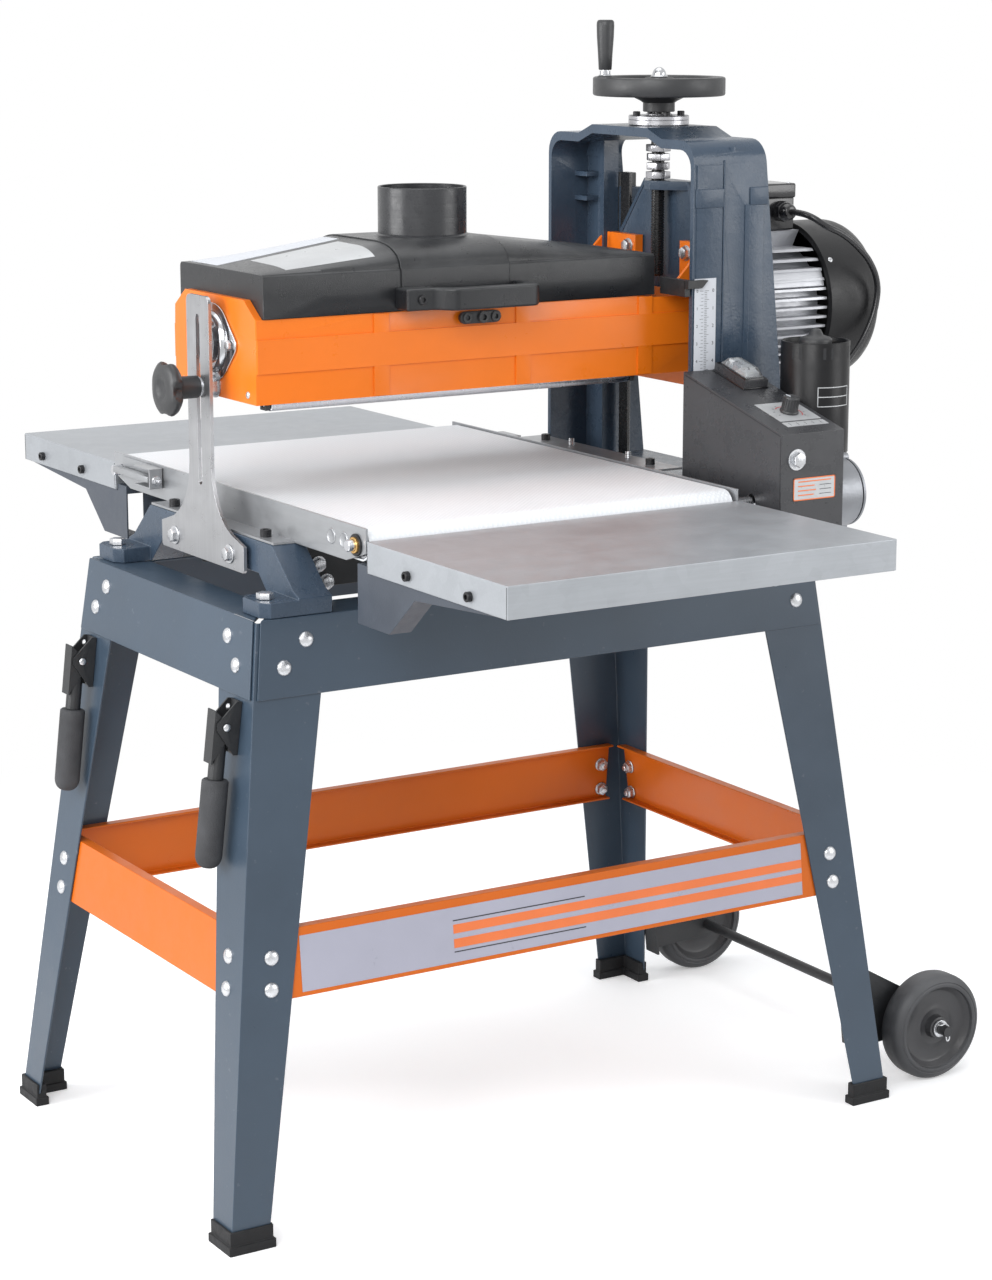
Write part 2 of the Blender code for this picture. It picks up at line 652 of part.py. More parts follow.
def make_table_brackets():
    """Channel arms from the bed's ends to the tables."""
    wall = 0.0022
    width = 0.026
    low, top, notch = 0.665, TABLE_TOP - 0.0026, TABLE_TOP - TABLE_FLANGE - 0.0005
    seat, step = RAIL_BOTTOM - 0.0005, TABLE_INNER - 0.0008
    outline = [(0.281, low), (0.346, low), (0.398, 0.709), (0.565, 0.7215), (0.565, top),
               (step + 0.0034, top), (step + 0.0034, notch), (step, notch), (step, seat),
               (0.281, seat)]
    hollow = [(0.270, low + wall), (0.345, low + wall), (0.397, 0.709 + wall),
              (0.580, 0.7215 + wall), (0.580, top - wall), (step + 0.0034 + wall, top - wall),
              (step + 0.0034 + wall, notch - wall), (0.270, notch - wall)]
    sides = {"left": (-0.2812, 1.0), "right": (0.1842, -1.0)}
    for side, (outer, inward) in sides.items():
        for place, sign in (("infeed", -1), ("outfeed", 1)):
            solid = [(sign * y, z) for y, z in outline]
            inside = [(sign * y, z) for y, z in hollow]
            far = outer + inward * width
            shape = cut(prism(solid, "x", min(outer, far), max(outer, far)),
                        prism(inside, "x", min(outer + inward * wall, far + inward * 0.01),
                              max(outer + inward * wall, far + inward * 0.01)))
            finish("bracket_" + place + "_" + side, shape, casting_blue, smooth=False)


# ---------------------------------------------------------------- feed drive and controls

def make_feed_drive():
    """Worm gearbox on the drive roller's axis, and the upright motor on top of it."""
    axis = (0.0, -ROLLER_Y, ROLLER_Z)
    case = turned([(0.3075, 0.0), (0.3075, 0.034), (0.311, 0.0385), (0.344, 0.0385),
                   (0.3475, 0.034), (0.3475, 0.0)], "x", axis, 36)
    neck = box((0.311, -0.262, 0.722), (0.361, -0.202, 0.784))
    collar = rod("z", (FEED_MOTOR.x, FEED_MOTOR.y, 0.0), 0.780, 0.7875, 0.034, 32)
    lug = rod("x", (0.0, -0.285, 0.7905), 0.322, 0.336, 0.006, 16)
    bore = rod("x", axis, 0.300, 0.3285, SHAFT_RADIUS + 0.0006, 20)
    finish("feed_gearbox", cut(join(case, neck, collar, lug), bore), aluminium)

    r = FEED_MOTOR_RADIUS
    profile = [(0.788, 0.0), (0.788, r), (0.915, r), (0.915, r - 0.0025), (0.905, r - 0.0025),
               (0.905, 0.0188), (0.9135, 0.0188), (0.9175, 0.0165), (0.9200, 0.0085),
               (0.9265, 0.0060), (0.9280, 0.0035), (0.9280, 0.0)]
    finish("feed_motor", turned(profile, "z", (FEED_MOTOR.x, FEED_MOTOR.y, 0.0), 40),
           black_paint)


def panel_point(place, above=0.0):
    """A point on the control box's sloped top, or above it."""
    z = BOX_BACK_TOP + (place.y - BOX_BACK) * sin(BOX_SLOPE) / cos(BOX_SLOPE)
    return Vector((place.x, place.y - above * sin(BOX_SLOPE), z + above * cos(BOX_SLOPE)))


def make_controls():
    """Folded control box with its switch frame, rocker and speed knob."""
    wall = 0.002
    outline = [(BOX_BACK, BOX_BACK_TOP), (BOX_FRONT, BOX_FRONT_TOP),
               (BOX_FRONT, BOX_BOTTOM), (BOX_BACK, BOX_BOTTOM)]
    inside = [(BOX_BACK - wall, BOX_BACK_TOP - wall - 0.0006),
              (BOX_FRONT + wall, BOX_FRONT_TOP - wall + 0.0004),
              (BOX_FRONT + wall, BOX_BOTTOM - 0.01), (BOX_BACK - wall, BOX_BOTTOM - 0.01)]
    shape = cut(prism(outline, "x", BOX_LEFT, BOX_RIGHT),
                prism(inside, "x", BOX_LEFT + wall, BOX_RIGHT - wall))
    shape = cut(shape, rod("x", (0.0, -ROLLER_Y, ROLLER_Z), BOX_LEFT - 0.01, BOX_RIGHT + 0.01,
                           0.0085, 20))
    slope = Matrix.Rotation(BOX_SLOPE, 4, "X")
    switch = panel_point(SWITCH)
    frame = box((-0.0165, -0.030, -0.0005), (0.0165, 0.030, 0.0105))
    frame = cut(frame, box((-0.0095, -0.0225, 0.002), (0.0095, 0.0225, 0.02)))
    shape = join(shape, moved_by(frame, Matrix.Translation(switch) @ slope))
    gland = (0.0, -0.1740, 0.790)
    shape = join(shape, rod("x", gland, BOX_RIGHT - 0.001, BOX_RIGHT + 0.012, 0.0085, 20))
    finish("control_box", shape, black_paint, smooth=False)

    # The rocker tips about X; at rest its near end is up
    tip = radians(-7.0)
    rocker = prism([(-0.0215, 0.0020), (0.0215, 0.0020), (0.0215, 0.0065), (0.0, 0.0045),
                    (-0.0215, 0.0065)], "x", -0.0088, 0.0088)
    rocker = moved_by(rocker, Matrix.Rotation(tip, 4, "X"))
    pivot = panel_point(SWITCH, 0.0065)
    rocker = moved_by(rocker, Matrix.Translation(pivot) @ slope)
    finish("switch_rocker", rocker, switch_clear, pivot)

    base = panel_point(KNOB, 0.0006)
    knob = turned([(0.0, 0.0), (0.0, 0.0105), (0.003, 0.0100), (0.017, 0.0088),
                   (0.0185, 0.0080), (0.0185, 0.0)], "z", (0.0, 0.0, 0.0), 28)
    finish("speed_knob", moved_by(knob, Matrix.Translation(base) @ slope), black_plastic, base)


# ---------------------------------------------------------------- sanding head

def make_carriage():
    """The slide: an A-shaped plate with a nose that holds the lead screw's nut."""
    front, back = FLANGE_X + FLANGE_THICK + 0.0018, 0.3125
    top = 1.084
    plate = mirror_y([(0.0955, 0.8500), (0.0955, 1.0200), (0.045, top)])
    shape = prism(plate, "x", front, back)
    nose = [(0.268, -0.006), (0.268, 0.006), (front + 0.001, 0.045), (front + 0.001, -0.045)]
    shape = join(shape, prism(nose, "z", 1.0735, top))
    # Slide blocks behind the column's guide ways
    for sign in (-1, 1):
        low, high = sorted((sign * 0.088, sign * 0.1255))
        shape = join(shape, box((0.3005 + GAP, low, 0.905), (0.3245, high, 1.070)))
    # Raised rim and middle rib on the face of the A
    rim = [(0.0905, 0.960), (0.0955, 0.960), (0.0955, 1.0200), (0.045, top), (0.0395, top),
           (0.0905, 1.0180)]
    for sign in (-1, 1):
        edge = [(sign * y, z) for y, z in rim]
        if sign > 0:
            edge = [(y, z) for y, z in edge if True]
        shape = join(shape, prism(edge, "x", front - 0.0012, front + 0.001))
    hub = rod("x", (0.0, 0.0, DRUM_Z), back - 0.002, MOTOR_LEFT - GAP, 0.060, 40)
    bore = rod("x", (0.0, 0.0, DRUM_Z), 0.25, 0.40, 0.0165, 28)
    screw_hole = rod("z", (SCREW_X, 0.0, 0.0), 1.06, 1.10, 0.0093, 24)
    finish("carriage", cut(join(shape, hub), bore, screw_hole), casting_blue)


def make_housing():
    """The ribbed shell around the drum, with a neck and a bolting flange at its inner end."""
    wall = 0.004
    ledge = 0.0022
    low, high = 0.904, 0.9405
    def side(edge, step):
        return [(edge - step, HEAD_BOTTOM), (edge - step, low), (edge, low), (edge, high),
                (edge - step, high), (edge - step, HEAD_TOP)]
    right_side = side(HEAD_HALF, ledge)
    end_wall = right_side + [(0.0705, 0.981)]
    shape = prism(mirror_y(end_wall), "x", HEAD_LEFT, FLANGE_X + 0.001)
    # The trough for the drum, open below and above
    inner = HEAD_HALF - ledge - wall
    trough = [(inner, 0.80), (inner, 1.05), (-inner, 1.05), (-inner, 0.80)]
    shape = cut(shape, prism(trough, "x", HEAD_LEFT + 0.008, 0.200))
    # Right of the end wall the top is cut down to the level of the cover's edge
    shape = cut(shape, box((HEAD_LEFT + 0.0082, -0.2, HEAD_TOP), (0.40, 0.2, 1.05)))
    shape = cut(shape, box((0.199, -0.2, HEAD_TOP - 0.0025), (0.41, 0.2, 1.06)))
    neck_hollow = [(0.086, 0.80), (0.086, 0.948), (-0.086, 0.948), (-0.086, 0.80)]
    shape = cut(shape, prism(neck_hollow, "x", 0.206, 0.272))
    flange = [(0.046, 0.952), (0.046, 1.0165), (0.1062, 1.0165), (0.1062, 0.970),
              (0.0945, 0.955), (0.0945, 0.8485)]
    shape = join(shape, prism(mirror_y(flange), "x", FLANGE_X, FLANGE_X + FLANGE_THICK))
    # Upright stiffening ribs on the front and the back
    for sign in (-1, 1):
        for x in (-0.1570, 0.0250, 0.1900):
            near, far = sorted((sign * (HEAD_HALF - ledge - 0.001), sign * (HEAD_HALF - 0.0003)))
            shape = join(shape, box((x, near, HEAD_BOTTOM + 0.001), (x + 0.019, far, low + 0.001)))
            shape = join(shape, box((x, near, high - 0.001), (x + 0.019, far, HEAD_TOP - 0.001)))
    bore = rod("x", (0.0, 0.0, DRUM_Z), HEAD_LEFT - 0.01, 0.31, 0.0135, 28)
    stud = rod("x", (0.0, 0.0, 0.882), HEAD_LEFT - 0.002, HEAD_LEFT + 0.020, 0.0040, 16)
    finish("drum_housing", cut(shape, bore, stud), orange)


def make_drum():
    """The drum with its shaft; both ends are recessed."""
    rim, shaft = DRUM_RADIUS - 0.006, 0.0122
    deep = 0.190
    profile = [(-0.3035, 0.0), (-0.3035, shaft), (DRUM_LEFT + deep, shaft), (DRUM_LEFT + deep, rim),
               (DRUM_LEFT, rim), (DRUM_LEFT, DRUM_RADIUS), (DRUM_RIGHT, DRUM_RADIUS),
               (DRUM_RIGHT, rim), (DRUM_RIGHT - deep, rim), (DRUM_RIGHT - deep, shaft),
               (MOTOR_LEFT - 2.0 * GAP, shaft), (MOTOR_LEFT - 2.0 * GAP, 0.0)]
    centre = (0.0, 0.0, DRUM_Z)
    finish("drum", turned(profile, "x", centre, 40), abrasive, centre)


def roof_height(x):
    """Height of the cover's crown along its length."""
    if x < SADDLE_LEFT:
        share = (x - COVER_LEFT) / (SADDLE_LEFT - COVER_LEFT)
    elif x > SADDLE_RIGHT:
        share = (HEAD_RIGHT - x) / (HEAD_RIGHT - SADDLE_RIGHT)
    else:
        share = 1.0
    return COVER_EDGE + 0.0008 + (COVER_CROWN - COVER_EDGE - 0.0008) * share


def cover_section(x, shrink, bottom):
    """The cover's outline across the drum at one place along it."""
    half = HEAD_HALF - shrink
    edge = COVER_EDGE - shrink
    crown = roof_height(x) - shrink
    flat = 0.045
    points = [(half, bottom), (half, edge)]
    steps = 5
    for i in range(1, steps + 1):
        turn = pi / 2.0 * i / steps
        y = half - (half - flat) * (1.0 - cos(turn))
        z = edge + (crown - edge) * sin(turn)
        points.append((y, z))
    return points + [(-y, z) for y, z in reversed(points)]


def lofted(stations, shrink, bottom):
    """A solid through the cover's sections."""
    bm = bmesh.new()
    rings = []
    for x in stations:
        rings.append([bm.verts.new((x, y, z)) for y, z in cover_section(x, shrink, bottom)])
    for first, second in zip(rings, rings[1:]):
        for i in range(len(first)):
            j = (i + 1) % len(first)
            bm.faces.new((first[i], first[j], second[j], second[i]))
    bm.faces.new(rings[0])
    bm.faces.new(rings[-1])
    bmesh.ops.recalc_face_normals(bm, faces=bm.faces)
    return bm


def make_cover():
    """The hinged dust hood with its hose port and front handle."""
    wall = 0.003
    bottom = HEAD_TOP + 0.0008
    stations = [COVER_LEFT, SADDLE_LEFT, SADDLE_RIGHT, HEAD_RIGHT]
    shape = lofted(stations, 0.0, bottom)
    inner_stations = [COVER_LEFT + wall, SADDLE_LEFT, SADDLE_RIGHT, HEAD_RIGHT - wall]
    shape = cut(shape, lofted(inner_stations, wall, bottom - 0.02))
    shape = join(shape, rod("z", (PORT_X, 0.0, 0.0), 1.026, PORT_TOP, PORT_RADIUS, 36))
    shape = cut(shape, rod("z", (PORT_X, 0.0, 0.0), 0.98, PORT_TOP + 0.01, PORT_RADIUS - 0.0028, 36))
    handle_low, handle_high = 0.9640, 0.9880
    grip_outline = [(-0.130, -0.0995), (-0.130, -0.128), (-0.094, -0.129), (-0.086, -0.142),
                    (-0.078, -0.148), (0.024, -0.148), (0.032, -0.140), (0.032, -0.0995),
                    (0.020, -0.0995), (0.020, -0.124), (0.014, -0.130), (-0.070, -0.130),
                    (-0.080, -0.124), (-0.090, -0.114), (-0.090, -0.0995)]
    shape = join(shape, prism(grip_outline, "z", handle_low, handle_high))
    hinge_origin = (0.0, HEAD_HALF + 0.004, HEAD_TOP + 0.002)
    barrel_gap = join(rod("x", (0.0, hinge_origin[1], hinge_origin[2]), -0.240, -0.180, 0.0035, 16),
                      box((-0.240, HEAD_HALF - 0.002, hinge_origin[2]),
                          (-0.180, hinge_origin[1], hinge_origin[2] + 0.0035)))
    shape = join(shape, barrel_gap)
    barrel = join(rod("x", (0.0, hinge_origin[1], hinge_origin[2]), 0.090, 0.150, 0.0035, 16),
                  box((0.090, HEAD_HALF - 0.002, hinge_origin[2]),
                      (0.150, hinge_origin[1], hinge_origin[2] + 0.0035)))
    shape = join(shape, barrel)
    finish("dust_cover", shape, black_plastic, hinge_origin)

    latch_z = 0.9505
    face = -HEAD_HALF - GAP
    outline = arc((-0.0445, latch_z), 0.0068, 90.0, 270.0, 8)
    outline += arc((-0.0050, latch_z), 0.0068, -90.0, 90.0, 8)
    latch = prism(outline, "y", face, face - 0.009)
    finish("cover_latch", latch, black_plastic, (-0.0445, face, latch_z))


def make_press_rollers():
    """Sprung carriers along the drum and the pressure roller that turns in each."""
    left, right = -0.279, 0.184
    ear = 0.006
    for name, sign in (("front", -1), ("rear", 1)):
        y = sign * PRESS_Y
        strip = box((left - ear - 0.001, y - 0.0065, 0.8835), (right + ear + 0.001, y + 0.0065, 0.8860))
        for low in (left - ear - 0.001, right + 0.001):
            strip = join(strip, box((low, y - 0.0065, PRESS_Z - 0.0065), (low + ear, y + 0.0065, 0.8850)))
        strip = cut(strip, rod("x", (0.0, y, PRESS_Z), left - 0.02, right + 0.02, 0.0036, 16))
        finish("press_carrier_" + name, strip, black_paint, smooth=False)
        profile = [(left - 0.006, 0.0), (left - 0.006, 0.0030), (left, 0.0030), (left, PRESS_RADIUS),
                   (right, PRESS_RADIUS), (right, 0.0030), (right + 0.006, 0.0030), (right + 0.006, 0.0)]
        centre = (0.0, y, PRESS_Z)
        finish("press_roller_" + name, turned(profile, "x", centre, 20), bright_steel, centre)


# ---------------------------------------------------------------- main motor

def make_motor():
    """Finned motor body: level fins on both sides that end on one circle."""
    core = 0.070
    pitch, fin = 0.0111, 0.0030
    count = 6
    side = []
    for i in range(-count, count + 1):
        for z in (i * pitch - fin / 2.0, i * pitch + fin / 2.0):
            inside = sqrt(max(core ** 2 - z ** 2, 0.018 ** 2))
            outside = sqrt(MOTOR_RADIUS ** 2 - z ** 2)
            steps = ((inside, z), (outside, z)) if z < i * pitch else ((outside, z), (inside, z))
            side += steps
    top = MOTOR_RADIUS - 0.0005
    side = [(0.030, -top)] + side + [(0.030, top)]
    outline = [(y, DRUM_Z + z) for y, z in side] + [(-y, DRUM_Z + z) for y, z in reversed(side)]
    shape = prism(outline, "x", MOTOR_LEFT + 0.010, MOTOR_RIGHT)
    front = rod("x", (0.0, 0.0, DRUM_Z), MOTOR_LEFT, MOTOR_LEFT + 0.012, 0.070, 40)
    finish("main_motor", join(shape, front), aluminium, (0.0, 0.0, DRUM_Z), smooth=False)

    r = COWL_RADIUS
    left, right = MOTOR_RIGHT + 0.0008, COWL_RIGHT
    wall = 0.0025
    profile = [(left, MOTOR_RADIUS + 0.0015), (left, r), (right - 0.022, r), (right - 0.010, r - 0.004),
               (right - 0.003, r - 0.012), (right, r - 0.024), (right, 0.0), (right - wall, 0.0),
               (right - wall, r - 0.025), (right - 0.013, r - 0.007), (right - 0.023, r - wall),
               (left + wall, r - wall), (left + wall, MOTOR_RADIUS + 0.0015)]
    shape = hollow_turned(profile, "x", (0.0, 0.0, DRUM_Z), 36)
    finish("fan_cover", shape, black_plastic, (0.0, 0.0, DRUM_Z))


def hollow_turned(profile, axis, centre, steps):
    """A turned cup whose outline touches its axis twice."""
    along = Vector((1, 0, 0))
    out = Vector((0, 1, 0))
    centre = Vector(centre)
    bm = bmesh.new()
    ring = [bm.verts.new(centre + along * a + out * r) for a, r in profile]
    edges = []
    for i in range(len(ring)):
        j = (i + 1) % len(ring)
        if profile[i][1] > 1e-6 or profile[j][1] > 1e-6:
            edges.append(bm.edges.new((ring[i], ring[j])))
    bmesh.ops.spin(bm, geom=ring + edges, cent=centre, axis=along, angle=2.0 * pi,
                   steps=steps, use_merge=True)
    bmesh.ops.remove_doubles(bm, verts=bm.verts, dist=1e-6)
    bmesh.ops.recalc_face_normals(bm, faces=bm.faces)
    return bm


GLAND_X = 0.438
GLAND_Z = 1.0440
GLAND_END = -0.0585


def make_junction_box():
    """Terminal box on top of the motor with the cable's gland on its front."""
    low = DRUM_Z + MOTOR_RADIUS + GAP
    body = box((0.382, -0.034, low), (0.4595, 0.034, 1.0600))
    lid = box((0.3805, -0.0355, 1.0590), (0.4610, 0.0355, 1.0765))
    gland = rod("y", (GLAND_X, 0.0, GLAND_Z), GLAND_END, -0.033, 0.0095, 20)
    nut = rod("y", (GLAND_X, 0.0, GLAND_Z), -0.0480, -0.0335, 0.0118, 6)
    finish("junction_box", join(body, lid, gland, nut), black_plastic)


CABLE_RADIUS = 0.0038
CABLE_ROUTE = [(GLAND_X, GLAND_END - GAP, GLAND_Z), (GLAND_X, -0.0720, GLAND_Z),
               (0.4420, -0.0900, 1.0405), (0.4560, -0.1010, 1.0300), (0.4780, -0.1050, 1.0195),
               (0.5040, -0.1055, 1.0010), (0.5210, -0.1055, 0.9830), (0.5312, -0.1055, 0.9610),
               (0.5318, -0.1055, 0.9400), (0.5200, -0.1055, 0.9060), (0.4920, -0.1060, 0.8690),
               (0.4520, -0.1130, 0.8420), (0.4080, -0.1300, 0.8180), (0.3680, -0.1560, 0.7990),
               (0.3340, -0.1740, 0.7900), (0.3143, -0.1740, 0.7900)]


def smooth_route(points, spacing):
    """Points along a smooth curve through the given ones."""
    points = [Vector(point) for point in points]
    padded = [2.0 * points[0] - points[1]] + points + [2.0 * points[-1] - points[-2]]
    route = [points[0]]
    for a, b, c, d in zip(padded, padded[1:], padded[2:], padded[3:]):
        pieces = max(1, round((c - b).length / spacing))
        for i in range(1, pieces + 1):
            t = i / pieces
            route.append(0.5 * (2.0 * b + (c - a) * t + (2.0 * a - 5.0 * b + 4.0 * c - d) * t ** 2
                                + (3.0 * b - a - 3.0 * c + d) * t ** 3))
    return route


def make_motor_cable():
    """The lead from the motor's gland down to the control box."""
    route = smooth_route(CABLE_ROUTE, 0.014)
    curve = bpy.data.curves.new("motor_cable", "CURVE")
    curve.dimensions = "3D"
    curve.bevel_depth = CABLE_RADIUS
    curve.bevel_resolution = 2
    curve.use_fill_caps = True
    spline = curve.splines.new("POLY")
    spline.points.add(len(route) - 1)
    for point, place in zip(spline.points, route):
        point.co = (*place, 1.0)
    curve.materials.append(black_plastic)
    cable = bpy.data.objects.new("motor_cable", curve)
    bpy.context.scene.collection.objects.link(cable)
    cable.parent = machine


# ---------------------------------------------------------------- height screw and support arm

def make_screw():
    """Lead screw, its bearing flange, the handwheel and the crank grip."""
    centre = (SCREW_X, 0.0, 0.0)
    profile = [(0.9720, 0.0), (0.9720, 0.0065), (0.9735, 0.0080), (1.1200, 0.0080), (1.1200, 0.0085),
               (1.1495, 0.0085), (1.1495, 0.0070), (1.2060, 0.0070), (1.2060, 0.0088),
               (1.2100, 0.0088), (1.2130, 0.0060), (1.2148, 0.0)]
    finish("lead_screw", turned(profile, "z", centre, 24), black_paint, centre)
    flange = tube("z", centre, COLUMN_TOP + GAP, 1.1595, 0.0092, 0.0355, 36)
    finish("screw_bearing", flange, bright_steel)

    rim = 0.0775
    wheel = [(1.1635, 0.0076), (1.1635, 0.0187), (1.1740, 0.0187), (1.1815, 0.0330),
             (1.1835, 0.0420), (1.1822, rim - 0.0165), (1.1822, rim - 0.002), (1.1842, rim),
             (1.2015, rim), (1.2035, rim - 0.002), (1.2035, rim - 0.0150),
             (1.1900, rim - 0.0170), (1.1890, 0.0300), (1.2045, 0.0150), (1.2045, 0.0076)]
    stud = Vector((SCREW_X - 0.0640, 0.018, 0.0))
    shape = turned(wheel, "z", centre, 40)
    # A boss under the rim's top carries the crank's pin
    shape = join(shape, rod("z", stud, 1.1860, 1.2050, 0.0095, 16))
    shape = join(shape, rod("z", stud, 1.2040, 1.2560, 0.0040, 16))
    finish("handwheel", shape, black_plastic, centre)

    grip = [(1.2120, 0.0046), (1.2120, 0.0074), (1.2300, 0.0084), (1.2520, 0.0100), (1.2660, 0.0103),
            (1.2690, 0.0090), (1.2690, 0.0), (1.2565, 0.0), (1.2565, 0.0046)]
    bm = bmesh.new()
    ring = [bm.verts.new(stud + Vector((r, 0.0, z))) for z, r in grip]
    edges = []
    for i in range(len(ring)):
        j = (i + 1) % len(ring)
        if grip[i][1] > 1e-6 or grip[j][1] > 1e-6:
            edges.append(bm.edges.new((ring[i], ring[j])))
    bmesh.ops.spin(bm, geom=ring + edges, cent=stud, axis=(0.0, 0.0, 1.0), angle=2.0 * pi,
                   steps=24, use_merge=True)
    bmesh.ops.remove_doubles(bm, verts=bm.verts, dist=1e-6)
    finish("crank_grip", bm, black_plastic, stud)


def make_support_arm():
    """The slotted arm that steadies the head's free end, and its star knob."""
    left, right = -0.3205, -0.3165
    foot_low, foot_high = 0.6910, 0.7200
    half_foot, half_arm = 0.101, 0.027
    top = 0.9815
    profile = [(half_foot - 0.003, foot_low), (half_foot, foot_low + 0.003), (half_foot, foot_high)]
    # The flare is a quarter of an ellipse from the foot up to the arm
    steps = 8
    for i in range(1, steps + 1):
        turn = pi / 2.0 * i / steps
        profile.append((half_arm + (half_foot - half_arm - 0.004) * (1.0 - sin(turn)),
                        foot_high + 0.004 + 0.072 * (1.0 - cos(turn))))
    profile += [(half_arm, top - 0.010)] + arc((half_arm - 0.008, top - 0.008), 0.008, 0.0, 90.0, 4)
    shape = prism(mirror_y(profile), "x", left, right)
    slot_half = 0.0045
    slot = arc((0.0, 0.9565), slot_half, 0.0, 180.0, 8) + arc((0.0, 0.7785), slot_half, 180.0, 360.0, 8)
    shape = cut(shape, prism(slot, "x", left - 0.01, right + 0.01))
    # Two spacers stand between the arm and the casting
    for sign in (-1, 1):
        shape = join(shape, rod("x", (0.0, sign * 0.067, 0.7075), right - 0.001, -0.3123, 0.011, 20))
    finish("support_arm", shape, galvanised)

    axis = (0.0, 0.0, 0.882)
    lobes = 7
    star = []
    for i in range(lobes * 8):
        turn = 2.0 * pi * i / (lobes * 8)
        radius = 0.0288 + 0.0024 * cos(lobes * turn)
        star.append((radius * cos(turn), 0.882 + radius * sin(turn)))
    knob = prism(star, "x", -0.3660, -0.3500)
    hub = turned([(-0.3510, 0.0), (-0.3510, 0.0150), (-0.3420, 0.0125), (-0.3215, 0.0125),
                  (-0.3215, 0.0035), (-0.2850, 0.0035), (-0.2850, 0.0)], "x", axis, 24)
    finish("lock_knob", join(knob, hub), black_plastic, axis)


make_legs()
make_feet()
make_rails()
make_braces()
make_axle_frame()
make_wheels()
make_lift_handles()
make_outboard_casting()
make_crossbeam()
make_column()
make_bed()
make_belt()
make_rollers()
make_tables()
make_table_brackets()
make_feed_drive()
make_controls()
make_carriage()
make_housing()
make_drum()
make_cover()
make_press_rollers()
make_motor()
make_junction_box()
make_motor_cable()
make_screw()
make_support_arm()
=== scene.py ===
import json
from math import acos, atan, cos, degrees, pi, radians, sin, sqrt

import bmesh
import bpy
from mathutils import Matrix, Vector

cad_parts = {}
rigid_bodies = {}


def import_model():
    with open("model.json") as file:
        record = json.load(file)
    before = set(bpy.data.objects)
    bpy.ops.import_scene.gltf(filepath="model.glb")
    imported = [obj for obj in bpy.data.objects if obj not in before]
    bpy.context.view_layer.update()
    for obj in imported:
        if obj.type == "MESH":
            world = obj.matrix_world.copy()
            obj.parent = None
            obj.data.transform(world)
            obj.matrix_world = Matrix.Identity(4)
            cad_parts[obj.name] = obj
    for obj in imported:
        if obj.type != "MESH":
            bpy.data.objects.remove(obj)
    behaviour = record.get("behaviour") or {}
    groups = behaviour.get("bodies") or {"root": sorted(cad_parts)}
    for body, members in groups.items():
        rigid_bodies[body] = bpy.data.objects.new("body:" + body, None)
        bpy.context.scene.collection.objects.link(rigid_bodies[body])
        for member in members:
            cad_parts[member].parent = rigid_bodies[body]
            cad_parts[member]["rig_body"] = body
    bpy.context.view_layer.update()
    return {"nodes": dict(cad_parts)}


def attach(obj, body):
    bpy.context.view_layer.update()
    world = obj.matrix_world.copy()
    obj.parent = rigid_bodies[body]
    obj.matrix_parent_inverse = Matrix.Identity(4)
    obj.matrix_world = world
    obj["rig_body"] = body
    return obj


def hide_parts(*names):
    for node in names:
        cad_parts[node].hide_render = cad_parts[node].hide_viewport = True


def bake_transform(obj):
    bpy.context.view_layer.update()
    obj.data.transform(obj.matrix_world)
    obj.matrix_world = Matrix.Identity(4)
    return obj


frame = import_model()
standShift = Vector((-0.07725, 0.0, 0.0))  # places below are measured from the stand's middle
print("frame loaded:", len(frame["nodes"]), "nodes")


# camera
view = {"place": (-1.83384, -2.94227, 1.31589), "turn": (77.60, 0.0, -31.69), "lens": 84.648}
cameraData = bpy.data.cameras.new("camera")
cameraData.sensor_width = 36.0
cameraData.lens = view["lens"]
cameraData.clip_end = 60.0
camera = bpy.data.objects.new("camera", cameraData)
camera.location = view["place"]
camera.rotation_euler = [radians(a) for a in view["turn"]]
bpy.context.scene.collection.objects.link(camera)
bpy.context.scene.camera = camera
bpy.context.scene.view_settings.view_transform = "Standard"


# materials: one recipe of patches, grain and brushing, with its own values for each finish
def addNode(tree, kind, **values):
    node = tree.nodes.new(kind)
    for key, value in values.items():
        if key.startswith("in_"):
            node.inputs[key[3:].replace("_", " ")].default_value = value
        else:
            setattr(node, key, value)
    return node


def mixColour(tree, factor, first, second, blend="MIX"):
    node = addNode(tree, "ShaderNodeMix", data_type="RGBA", blend_type=blend)
    for socket, value in ((node.inputs[0], factor), (node.inputs[6], first), (node.inputs[7], second)):
        if hasattr(value, "is_output"):
            tree.links.new(value, socket)
        else:
            socket.default_value = value
    return node.outputs[2]


